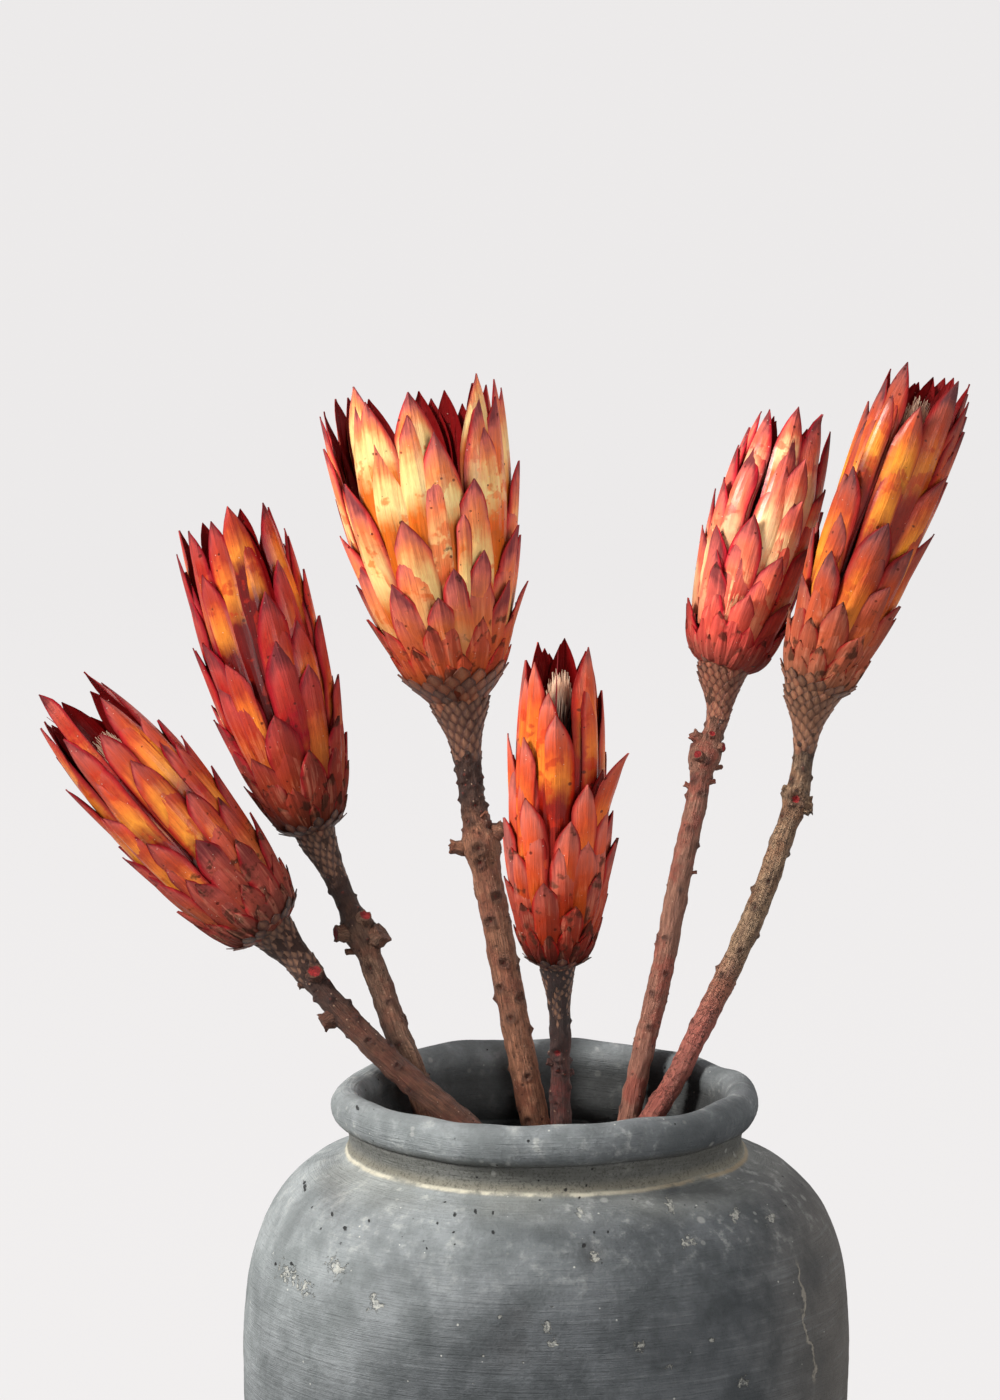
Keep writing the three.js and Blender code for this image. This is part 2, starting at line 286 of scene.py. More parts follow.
world = bpy.data.worlds.new("studio")
world.use_nodes = True
toward = add_node(world.node_tree, "ShaderNodeTexCoord", output="Generated")
sky_light = axes(toward)[2].ramp(-0.4, 0.9) * (SKY_ABOVE - SKY_BELOW) + SKY_BELOW
feed(world.node_tree.nodes["Background"], {"Color": PAPER, "Strength": sky_light})
scene.world = world

for name, (place, width, watts, tint) in PANELS.items():
    light = bpy.data.lights.new(name, "AREA")
    light.size = width
    light.energy = watts
    light.color = paint(tint)[:3]
    holder = add_piece(name, light)
    holder.location = place
    holder.rotation_euler = (LIGHT_TARGET - Vector(place)).to_track_quat("-Z", "Y").to_euler()
    holder.visible_camera = False
print("sky and", len(PANELS), "light panels")

# %% [markdown]
# ## Growing many pieces from a plan
# A plan is a mesh of bare points. Each point carries numbers, such as the height of one bract's tip. A
# geometry tree sets a small shape on every point and bends it by those numbers. This is quicker to
# change than hundreds of copies. The result is read back as one plain mesh.

# %% Trees with named inputs
def new_tree(name, kind, inputs, outputs):
    """A node tree, what it is given as terms, and its last node. Sockets are named with their kinds."""
    tree = bpy.data.node_groups.new(name, kind)
    for way, sockets in (("INPUT", inputs), ("OUTPUT", outputs)):
        for title, socket in sockets.items():
            tree.interface.new_socket(title, in_out=way, socket_type="NodeSocket" + socket)
    entry = tree.nodes.new("NodeGroupInput")
    given = {socket.name: Term(socket) for socket in entry.outputs if socket.name}
    return tree, given, tree.nodes.new("NodeGroupOutput")


def growth_tree(name, **inputs):
    """A geometry tree that turns a plan into a piece of one material."""
    inputs = {"Plan": "Geometry", **inputs, "Material": "Material"}
    return new_tree(name, "GeometryNodeTree", inputs, {"Result": "Geometry"})


def position(tree):
    """Where each point is."""
    return add_node(tree, "GeometryNodeInputPosition")


def read(tree, name, kind="FLOAT"):
    """A number that each point carries. Another kind may be given."""
    return add_node(tree, "GeometryNodeInputNamedAttribute", (name,), data_type=kind)


def read_vector(tree, name):
    """A vector that each point carries."""
    return read(tree, name, "FLOAT_VECTOR")


def read_axes(tree, name):
    """A vector that each point carries, as its three numbers."""
    return axes(read_vector(tree, name))


def store(geometry, name, value):
    """Keeps a vector on the points under a name."""
    inputs = {"Geometry": geometry, "Name": name, "Value": value}
    return add_node(geometry.tree, "GeometryNodeStoreNamedAttribute", inputs, data_type="FLOAT_VECTOR")


def moved(geometry, place):
    """Puts every point of the geometry at a place."""
    return add_node(geometry.tree, "GeometryNodeSetPosition", {"Geometry": geometry, "Position": place})


print("each growing tree takes a plan and a material")

# %% Shapes on plan points
CREASE = math.radians(50)


def slab(tree, across, along):
    """A box from -1 to 1, with the given points across and along it."""
    inputs = {"Size": (2.0, 2.0, 2.0), "Vertices X": across, "Vertices Y": along, "Vertices Z": 2}
    return add_node(tree, "GeometryNodeMeshCube", inputs)


def set_on_plan(given, shape, **turns):
    """One copy of the shape on every plan point, as real meshes."""
    inputs = {"Points": given["Plan"], "Instance": shape, **turns}
    copies = add_node(shape.tree, "GeometryNodeInstanceOnPoints", inputs)
    return add_node(shape.tree, "GeometryNodeRealizeInstances", (copies,))


def close_tree(geometry, given, result):
    """Ends a tree: smooth faces with crisp rims, real meshes, one material."""
    tree = geometry.tree
    soft = add_node(tree, "GeometryNodeInputMeshEdgeAngle").math("LESS_THAN", CREASE)
    inputs = {"Geometry": geometry, "Shade Smooth": soft}
    smooth = add_node(tree, "GeometryNodeSetShadeSmooth", inputs, domain="EDGE")
    real = add_node(tree, "GeometryNodeRealizeInstances", (smooth,))
    inputs = {"Geometry": real, "Material": given["Material"]}
    feed(result, (add_node(tree, "GeometryNodeSetMaterial", inputs),))
    print(tree.name, "tree with", len(tree.nodes), "nodes")


print("edges stay crisp above", round(math.degrees(CREASE)), "degrees")

# %% Plans and finished pieces
def carry(mesh, name, values):
    """Keeps a number or a vector for each point of a mesh under a name."""
    if isinstance(values[0], (int, float)):
        attribute = mesh.attributes.new(name, "FLOAT", "POINT")
        attribute.data.foreach_set("value", [float(value) for value in values])
    else:
        attribute = mesh.attributes.new(name, "FLOAT_VECTOR", "POINT")
        attribute.data.foreach_set("vector", [part for value in values for part in value])


def plan_mesh(name, rows, edges=()):
    """Bare points. Each row holds its place and the numbers or vectors that it carries."""
    mesh = bpy.data.meshes.new(name)
    mesh.from_pydata([row.pop("place") for row in rows], edges, [])
    for title in rows[0]:
        carry(mesh, title, [row[title] for row in rows])
    print(name, "with", len(rows), "points")
    return add_piece(name, mesh)


def grow(name, tree, plan, values, matrix):
    """Runs the tree on the plan and gives the finished piece, in place."""
    modifier = plan.modifiers.new("growth", "NODES")
    modifier.node_group = tree
    for item in tree.interface.items_tree:
        if item.in_out == "INPUT" and item.name in values:
            modifier[item.identifier] = values[item.name]
    graph = bpy.context.evaluated_depsgraph_get()
    mesh = bpy.data.meshes.new_from_object(plan.evaluated_get(graph), depsgraph=graph)
    bpy.data.objects.remove(plan)
    mesh.name = name
    mesh.transform(matrix)
    mesh.update()
    print(name, len(mesh.vertices), "points", sum(len(f.vertices) - 2 for f in mesh.polygons), "triangles")
    return add_piece(name, mesh)


def one_piece(name, pieces):
    """Joins the meshes of several objects into one piece."""
    with bpy.context.temp_override(active_object=pieces[0], selected_editable_objects=pieces):
        bpy.ops.object.join()
    pieces[0].name = pieces[0].data.name = name
    return pieces[0]


print("plans can carry numbers and vectors")

# %% [markdown]
# ## The six flowers and their sizes
# Each flower is a stem and a head, in millimetres. Most sizes are those of its solid. Heads 5 and 6 are a
# little rounder low down, as in the photograph. The route is the stem's middle line from its cut foot up
# to the neck. The head runs from base to top. It swells from the neck to the belly and closes to the
# mouth. Front bracts are listed one by one: each is the angle from the front, the height of its tip, its
# width and how far it bends out. Openings are gaps between bracts. A knot is a swelling of the stem.

# %% Flower sizes
FLOWERS = [
    dict(
        number=1, stem=4.0, neck=6.4, belly=18.6, belly_height=44.0, mouth=10.0, bluntness=2.45, turn=20,
        route=[(71.6, -31.5, 101.8), (22, -11, 145), (-20, 6, 180), (-44.3, 17, 198.4), (-56.5, 22, 209.4),
               (-65.7, 26, 218.5), (-73.5, 30, 227.7)],
        base=(-83.6, 34, 238.7), top=(-147.3, 38, 310.7),
        knots=[(16, 0.8), (33, 0.6)],
        openings=[(-68, -48, 66), (-18, 16, 80)],
        front=[(112, 97, 8, 0), (-22, 101, 5, 0.5), (-86, 93, 7, 0.5), (-34, 86, 9, 0.3), (42, 88, 8, 0),
               (58, 76, 8, 0.3), (86, 63, 7, 1.2), (88, 50, 8, 1.0), (10, 68, 9.5, 0.5),
               (31, 50, 9.5, 0.5), (-56, 60, 8, 0.4), (-86, 74, 5, 2.2), (-31, 46, 10, 0.5),
               (6, 37, 10.5, 0.6), (39, 29, 9.5, 0.5), (74, 26, 9, 0.5), (-58, 34, 9, 0.6),
               (-20, 27, 10.5, 0.4), (13, 18, 10, 0.3), (-84, 47, 8, 0.6), (66, 62, 8, 0.3),
               (4, 80, 8, -0.6)],
    ),
    dict(
        number=2, stem=3.8, neck=5.6, belly=19.8, belly_height=48.0, mouth=14.2, bluntness=1.9, turn=75,
        route=[(34, 30, 13.6), (14, 26, 70), (-14, 24, 130), (-33.5, 26, 175), (-41.3, 28.3, 198),
               (-46.1, 33, 208.5), (-50.1, 37, 219.4), (-56.4, 42, 234.7), (-60.1, 45, 242.9)],
        base=(-71.2, 52, 266), top=(-99.7, 60, 365.6),
        knots=[(32, 1.8), (35, 1.4)],
        openings=[(-30, 20, 84)],
        front=[(-150, 101, 6, 0), (-48, 100, 7, 0.3), (-84, 94, 6, 0.8), (-16, 101, 9, 0), (8, 104, 9.5, 0),
               (161, 102, 7, 0), (62, 102, 9, 0), (86, 90, 9, 0.5), (-36, 86, 8.5, 0.3),
               (18, 76, 12, 0.3), (84, 79, 7.5, 1.0), (82, 64, 8, 0.8), (-32, 58, 9.5, 0.4),
               (-80, 65, 6, 0.9), (-54, 66, 9, 0.2), (39, 51, 10, 0.6), (82, 45, 8, 1.0),
               (-6, 39, 12, 0.5), (20, 26, 10, 0.5), (-39, 28, 11, 0.4), (-84, 42, 8, 0.5),
               (-64, 24, 9, 0.5), (46, 84, 9, 0), (60, 33, 10, 0.5)],
    ),
    dict(
        number=3, stem=4.5, neck=6.8, belly=28.6, belly_height=70.0, mouth=27.0, bluntness=1.75, turn=0,
        route=[(20, 42, 12.9), (6, 46, 130), (-4, 47.2, 180), (-7.8, 48.1, 198.7), (-13, 51, 226.2),
               (-19.5, 55, 259.9), (-22, 57, 272.1), (-24.8, 60, 293.5)],
        base=(-26.4, 62, 305.1), top=(-42, 66, 403.2),
        knots=[(45, 1.6), (43, 1.0)],
        openings=[(-26, -9, 80), (10, 34, 78), (-74, -50, 80)],
        front=[(-82, 94, 6, 1.0), (-123, 98, 7, 0), (-41, 102, 13, -1.0), (-30, 97, 17, 0),
               (-2, 98, 15, -1.5), (11, 85, 15.5, 0.5), (50, 100, 17, -0.5), (62, 92, 14, 0.5),
               (80, 97, 9, -1), (86, 71, 10, 1.2), (-57, 73, 17, 0.6), (-84, 84, 9, 0.8),
               (-78, 57, 11, 0.8), (-17, 60, 15, 1.0), (33, 69, 12, 0.8), (20, 59, 5, 0.6),
               (68, 52, 12, 1.0), (-35, 41, 14.5, 1.0), (12, 43, 8, 0.8), (32, 47, 9, 0.8),
               (-3, 35, 11, 0.8), (57, 36, 12, 0.8), (84, 34, 9, 2.4), (-82, 30, 11, 1.0),
               (-58, 27, 11, 0.8), (-151, 96, 12, 0), (170, 93, 10, 0), (158, 95, 10, 0),
               (146, 90, 8, 0), (134, 96, 9, 0), (120, 95, 10, 0), (104, 91, 9, 0)],
    ),
    dict(
        number=4, stem=3.1, neck=4.8, belly=15.6, belly_height=36.0, mouth=8.5, bluntness=2.0, turn=130,
        route=[(6, -24, 12.7), (5, -38, 120), (4, -48, 185), (3.6, -51, 201), (3.4, -54, 222.9),
               (3, -56, 235.3)],
        base=(2.4, -58, 245.9), top=(3.1, -64, 340.8),
        knots=[(22, 0.7)],
        openings=[(-38, 50, 60), (-60, 60, 78)],
        front=[(174, 94, 9, 0), (-151, 91, 7, 0), (58, 94, 10, 0.2), (128, 90, 7, 0), (-44, 90, 9.5, 0),
               (-66, 85, 7, 0), (-4, 76, 11, 0.8), (-48, 69, 7.5, 0.3), (-86, 68, 6, 0.8),
               (-33, 52, 9.5, 0.6), (9, 46, 8, 0.8), (62, 65, 9.5, 8.6), (84, 38, 8, 1.5),
               (-52, 36, 7, 0.4), (-15, 28, 9, 0.6), (-44, 21, 8, 0.4), (20, 21, 8, 0.5),
               (52, 30, 9, 0.5), (34, 56, 8, 0.2), (-80, 44, 7, 0.4), (62, 48, 8, 0.2),
               (-74, 27, 8, 0.4), (-20, 82, 8, -1.0)],
    ),
    dict(
        number=5, stem=3.4, neck=5.6, belly=17.4, belly_height=37.0, mouth=10.5, bluntness=2.6, turn=200,
        route=[(-12, -12, 13.4), (10, 14, 110), (25.5, 33, 180), (30.2, 40.4, 200), (36.9, 46, 228.3),
               (42.3, 53, 255.8), (47, 59, 274.9), (49.4, 63, 287.7), (53.4, 66.5, 298.9)],
        base=(55, 70, 314.5), top=(77.6, 80, 391),
        knots=[(27, 2.2), (30, 1.2)],
        openings=[(-34, -2, 68), (12, 34, 70)],
        front=[(-92, 80, 6, 0), (-50, 81, 11, 0), (-150, 79, 6, 0), (-172, 80, 6, 0), (4, 84, 9, 0),
               (45, 84, 9.5, 0), (88, 80, 7, 0.8), (-84, 68, 8, 0.4), (-74, 57, 10, 0.5),
               (-88, 53, 6, 1.0), (24, 69, 10.5, 0.4), (30, 56, 10, 0.5), (-15, 48, 11.5, 0.8),
               (-86, 41, 8, 1.0), (23, 38, 10.5, 0.8), (-36, 31, 10, 0.6), (2, 24, 10, 0.6),
               (-72, 18, 9, 0.5), (53, 25, 9, 0.5), (60, 44, 9, 0.4), (-52, 42, 9, 0.3),
               (70, 62, 9, 0.3)],
    ),
    dict(
        number=6, stem=3.4, neck=6.2, belly=16.7, belly_height=56.0, mouth=12.0, bluntness=2.4, turn=290,
        route=[(-53.6, -22.8, 20), (-40, -16, 65), (-10, 0, 115), (20, 16, 165), (39.6, 25.8, 194.3),
               (49, 31, 212.2), (58.2, 34, 230.6), (66.2, 36, 249.2), (72.8, 38, 267.8), (76.5, 40, 278)],
        base=(81.2, 42, 311.4), top=(117.8, 44, 410.2),
        knots=[(33, 1.7)],
        openings=[(-44, -10, 56), (20, 52, 72)],
        front=[(-140, 102, 10, 0), (-68, 97, 11, 0), (-170, 99, 8, 0), (174, 102, 7, 0), (37, 104, 11, 0),
               (147, 104, 8, 0), (112, 104, 8, 0), (80, 99, 12, 0), (2, 93, 9.5, 0.5),
               (88, 90, 8, 0.6), (-48, 69, 10.5, 0.5), (64, 76, 11.5, 0.5), (8, 57, 11.5, 0.6),
               (86, 58, 9, 1.0), (-84, 47, 9, 0.6), (-37, 43, 10.5, 0.6), (-2, 30, 10.5, 0.6),
               (38, 39, 10.5, 0.6), (-66, 33, 9, 0.5), (-34, 22, 8, 0.4), (-8, 15, 7, 0.3),
               (23, 21, 8, 0.4), (70, 34, 9, 0.5), (52, 52, 10, 0.3), (-48, 104, 9.5, -0.4)],
    ),
]
print(len(FLOWERS), "flowers,", sum(len(flower["front"]) for flower in FLOWERS), "bracts placed by hand")

# %% [markdown]
# ## The cup that all bracts follow
# Every bract lies on one swelling cup, so a single rule gives the cup's radius at a height. The rule
# serves twice. With plain numbers it places points, and with terms it becomes the nodes that bend blades.
# The head also needs a frame: the turn and shift that take an upright head at the origin to its place on
# its stem. Chance gives each bract its own small differences, the same ones on every run.

# %% Cup and chance
MOUTH_CURVE = 2.2
# Each property that varies has a number of its own, so that no two of them vary together.
DRAWS = {"azimuth": 5, "width": 7, "flare": 9, "sway": 11, "tuck": 12, "twist": 13, "tone": 14,
         "pale part": 15, "taper": 16, "scale tone": 21, "hair height": 31, "hair lean": 32, "hair tone": 33,
         "scar width": 41, "scar gap": 42, "foot azimuth": 51}


def cup_radius(sizes, height):
    """The head's outer radius at a height above its base, for plain numbers or for terms."""
    belly_height = sizes["belly_height"]
    rise = clamped(height / belly_height) * -1.0 + 1.0
    swell = (rise ** sizes["bluntness"] * -1.0 + 1.0) ** (sizes["bluntness"] ** -1.0)
    lower = sizes["neck"] + (sizes["belly"] - sizes["neck"]) * swell
    closing = clamped((height - belly_height) / (sizes["length"] - belly_height)) ** MOUTH_CURVE
    return lower - (sizes["belly"] - sizes["mouth"]) * closing


def bell(value):
    """A bell curve, for a number or a term: 1 at zero, and falling away on both sides."""
    if isinstance(value, Term):
        return (value ** 2.0 * -1.0).math("EXPONENT")
    return math.exp(-value ** 2)


def draw(item, kind):
    """A repeatable number from 0 to 1 for the item and the property that it varies."""
    wave = math.sin(item * 12.9898 + DRAWS.get(kind, kind) * 78.233) * 43758.5453
    return wave - math.floor(wave)


def between(low, high, share):
    """The value at a share of the way from low to high."""
    return low + (high - low) * share


print("the first chances are", [round(draw(item, "tone"), 2) for item in range(3)])

# %% Head frames
MILLIMETRES = Matrix.Scale(MM, 4)


def round_direction(angle):
    """The level direction at an angle, in radians from +X."""
    return Vector((math.cos(angle), math.sin(angle), 0.0))


for flower in FLOWERS:
    base, top = Vector(flower["base"]), Vector(flower["top"])
    flower["length"] = (top - base).length
    flower["axis"] = (top - base).normalized()
    turn = UP.rotation_difference(flower["axis"])
    flower["matrix"] = MILLIMETRES @ Matrix.Translation(base) @ turn.to_matrix().to_4x4()
    toward = Vector(CAMERA_PLACE) / MM - (base + top) / 2
    flower["front_angle"] = math.degrees(math.atan2(toward.y, toward.x))
print("head lengths", [round(flower["length"]) for flower in FLOWERS])

# %% [markdown]
# ## The line of each stem
# A stem follows a smooth curve through the points of its route, sampled at even steps, so that a
# distance below the head gives one place on it. Its radius flares into the neck under the head and
# swells at each knot. The small scales of the neck follow this line too, because some necks bend.

# %% Stem lines
LINE_STEP = 0.75
CURVE_STEPS = 40


def smooth_line(points):
    """A curve through the points, sampled at even steps, and its length."""
    ends = [2 * points[0] - points[1], *points, 2 * points[-1] - points[-2]]
    dense = []
    for before, start, end, after in zip(ends, ends[1:], ends[2:], ends[3:]):
        first, middle, last = [gap.length ** 0.5 for gap in (start - before, end - start, after - end)]
        leave = (start - before) / first - (end - before) / (first + middle) + (end - start) / middle
        arrive = (end - start) / middle - (after - start) / (middle + last) + (after - end) / last
        leave, arrive = leave * middle, arrive * middle
        for t in [step / CURVE_STEPS for step in range(CURVE_STEPS)]:
            curve = (2 * t ** 3 - 3 * t ** 2 + 1) * start + (t ** 3 - 2 * t ** 2 + t) * leave
            dense.append(curve + (3 * t ** 2 - 2 * t ** 3) * end + (t ** 3 - t ** 2) * arrive)
    dense.append(points[-1])
    lengths = [0.0]
    for a, b in zip(dense, dense[1:]):
        lengths.append(lengths[-1] + (b - a).length)
    count = round(lengths[-1] / LINE_STEP)
    line, place = [], 0
    for step in range(count + 1):
        wanted = lengths[-1] * step / count
        while place < len(lengths) - 2 and lengths[place + 1] < wanted:
            place += 1
        share = (wanted - lengths[place]) / (lengths[place + 1] - lengths[place])
        line.append(dense[place].lerp(dense[place + 1], share))
    return line, lengths[-1]


for flower in FLOWERS:
    flower["line"], flower["run"] = smooth_line([Vector(p) for p in (*flower["route"], flower["base"])])
print("stem lengths", [round(flower["run"]) for flower in FLOWERS])


# %% Places on a stem
def level_pair(along):
    """Two directions across a direction, the first of them level."""
    across = Vector((0, 1, 0)).cross(along).normalized()
    return across, across.cross(along)


def stem_centre(flower, below):
    """The stem's centre at a distance below its top, and its direction."""
    line = flower["line"]
    place = (1 - below / flower["run"]) * (len(line) - 1)
    step = min(max(int(place), 1), len(line) - 3)
    return line[step].lerp(line[step + 1], place - step), (line[step + 2] - line[step - 1]).normalized()


print("heights at 50 mm below a head", [round(stem_centre(flower, 50.0)[0].z) for flower in FLOWERS])

# %% Stem girth
NECK_LENGTH = 24.0
NARROWEST = 0.84
FUNNEL_DEPTH = 9.0
KNOT_SHARE = 0.7
KNOT_LENGTH = 4.5
# How far a funnel under each head widens the neck, how steeply it opens and how high it reaches.
FUNNEL = {1: (0.4, 2.2, 1.5), 2: (0.5, 2.2, 1.5), 3: (1.8, 0.75, 6.0), 4: (0.3, 2.2, 1.5), 5: (2.0, 1.0, 4.0),
          6: (2.2, 0.8, 2.5)}


def stem_radius(flower, below):
    """The stem's radius at a distance below its top."""
    narrow = NARROWEST * flower["stem"]
    flare = math.exp(-((below / (0.42 * NECK_LENGTH)) ** 1.5))
    share = clamped((below - NECK_LENGTH) / (1.2 * NECK_LENGTH))
    thickening = share * share * (3 - 2 * share)
    radius = between(narrow, flower["stem"], thickening) + (flower["neck"] - narrow) * flare
    radius += FUNNEL[flower["number"]][0] * bell(below / FUNNEL_DEPTH)
    for depth, swelling in flower["knots"]:
        radius += swelling * KNOT_SHARE * bell((below - depth) / KNOT_LENGTH)
    return radius


print("stem radii at the neck", [round(stem_radius(flower, 0.0), 1) for flower in FLOWERS])

# %% [markdown]
# ## Shared finish effects
# Dried bracts, bark and clay all carry fine streaks and small specks. Each effect is a shader group, made
# once and placed in every material with its own values. The streak group stretches noise along one axis.
# The speck group keeps a few random cells of a Voronoi pattern and draws a dot in each.

# %% Shader groups
def effect_tree(name, outcome, **inputs):
    """A shader group with one number as its outcome."""
    return new_tree(name, "ShaderNodeTree", inputs, {outcome: "Float"})


streaks, given, result = effect_tree("streaks", "Streak", Place="Vector", Stretch="Vector")
stretched = add_node(streaks, "ShaderNodeVectorMath", given.values(), operation="MULTIPLY")
feed(result, (cloud(stretched, 1.0, 4.0, 0.65).ramp(0.25, 0.75),))

specks, given, result = effect_tree(
    "specks", "Speck", Place="Vector", Count="Float", Width="Float", Share="Float")
cells = add_node(specks, "ShaderNodeTexVoronoi", {"Vector": given["Place"], "Scale": given["Count"]})
distance, random_colour = all_outputs(cells)[:2]
lot, size_lot = axes(random_colour)[:2]
reach = given["Width"] * (size_lot + 0.4)
feed(result, (distance.ramp(reach, reach * 0.5) * lot.math("LESS_THAN", given["Share"]),))


def streaked(place, *stretch):
    """The streak group, placed with its stretch along three axes."""
    return add_node(place.tree, "ShaderNodeGroup", {"Place": place, "Stretch": stretch}, node_tree=streaks)


def specked(place, count, width, share):
    """The speck group, placed with its count, the width of a speck and the share of cells that have one."""
    inputs = {"Place": place, "Count": count, "Width": width, "Share": share}
    return add_node(place.tree, "ShaderNodeGroup", inputs, node_tree=specks)


print("shader groups", streaks.name, specks.name)

# %% Colours in a material
# A mix node has sockets of the same name for each kind of value. These are its sockets for colours.
MIX_UNDER = 6
MIX_OVER = 7
MIX_RESULT = 2


def carried(tree, name):
    """A vector that the mesh carries, for use in a material."""
    return add_node(tree, "ShaderNodeAttribute", output="Vector", attribute_name=name)


def object_place(tree):
    """Where a point of the surface is on its object."""
    return add_node(tree, "ShaderNodeTexCoord", output="Object")


def blend(share, *colours):
    """Two colours mixed by a share. A colour is a hex code or a term."""
    under, over = [colour if isinstance(colour, Term) else paint(colour) for colour in colours]
    inputs = {"Factor": share, MIX_UNDER: under, MIX_OVER: over}
    return add_node(share.tree, "ShaderNodeMix", inputs, output=MIX_RESULT, data_type="RGBA")


def layered(colour, *layers):
    """Colours laid over a colour one after another. Each layer is its share and its colour."""
    for share, over in layers:
        colour = blend(share, colour, over)
    return colour


def shaded(colour, amount):
    """A colour made lighter or darker by an amount that changes over the surface."""
    return add_node(colour.tree, "ShaderNodeVectorMath", {0: colour, "Scale": amount}, operation="SCALE")


def relief(height, distance):
    """Fine relief for a shader's Normal, with its depth in metres."""
    return add_node(height.tree, "ShaderNodeBump", {"Height": height, "Distance": distance})


print("white paint is", paint("#FFFFFF"))

# %% [markdown]
# ## The bract finish
# A dried bract is leathery and a little waxy. From its tip down it runs from a dark point through dusty
# rose and salmon to cream or yellow, and to orange or brown where others covered it. On heads 1, 2, 4
# and 6 that covered end is painted dark red-brown, as shade between the bracts. Its rim is crimson, with
# a dark line at the very margin that is partly painted shadow of the overlap, and its inner face deep
# red. Low bracts are browner, with weathered patches. Pale specks are partly wax and partly painted
# glints, and streaks of dusty rose are partly dust and partly painted sheen. Each head has its own run
# of colours, so one function makes the material from them. The run follows the distance from the tip. A
# last step deepens the colour, because studio light on pale paper washes it out.

# %% Bract colours
# The last colour of each run is the covered root. On heads 1, 2, 4 and 6 it is painted dark red-brown as
# shade between the bracts.
BRACT_COLOURS = {
    1: dict(run=("#8A4448", "#C0645C", "#C85838", "#E4863E", "#EA9E42", "#86200F"), stain="#C8441C",
            rim="#AC1028", low="#AE5C4E", foot="#7C4E44", wear=0.5, red=0.55, bare=0.62),
    2: dict(run=("#8A4448", "#BE5450", "#BE4A32", "#E07A36", "#EA963E", "#74120E"), stain="#BC341A",
            rim="#AA0E2A", low="#984832", foot="#724030", wear=0.52, red=0.85, bare=0.6),
    3: dict(run=("#9A5458", "#D87C70", "#F89C66", "#FFD896", "#FFE2A2", "#E07C2C"), stain="#F07A28",
            rim="#D03838", low="#BE5428", foot="#643220", wear=0.53, red=0.25, bare=0.68),
    4: dict(run=("#AC6660", "#D67A6A", "#DC6238", "#EC7C30", "#F29238", "#96200A"), stain="#C83A18",
            rim="#B41812", low="#902A0C", foot="#54201A", wear=0.5, red=0.3, bare=0.66),
    5: dict(run=("#8E4A4C", "#D4726A", "#F48666", "#FFD4A2", "#FFE2B0", "#E4784A"), stain="#EA5838",
            rim="#D01838", low="#D6584C", foot="#AE5C50", wear=0.55, red=0.35, bare=0.68),
    6: dict(run=("#784A4C", "#A85E54", "#C25832", "#E4862E", "#F2A43C", "#8E3410"), stain="#C85020",
            rim="#A41A1A", low="#B86648", foot="#A27058", wear=0.52, red=0.3, bare=0.66),
}
RUN_PLACES = (0.12, 0.32, 0.52, 0.72)
EDGE_RED_AND_SHADOW = "#4E120E"
INNER_RED = "#7E0E12"
WEATHERED = "#43342A"
DUSTY_ROSE = "#DCA68C"
DARK_SPECK = "#5A2418"
WAX_AND_GLINT = "#FBEBDC"
DEEPENING = 1.22
print("runs of colour for heads", list(BRACT_COLOURS))


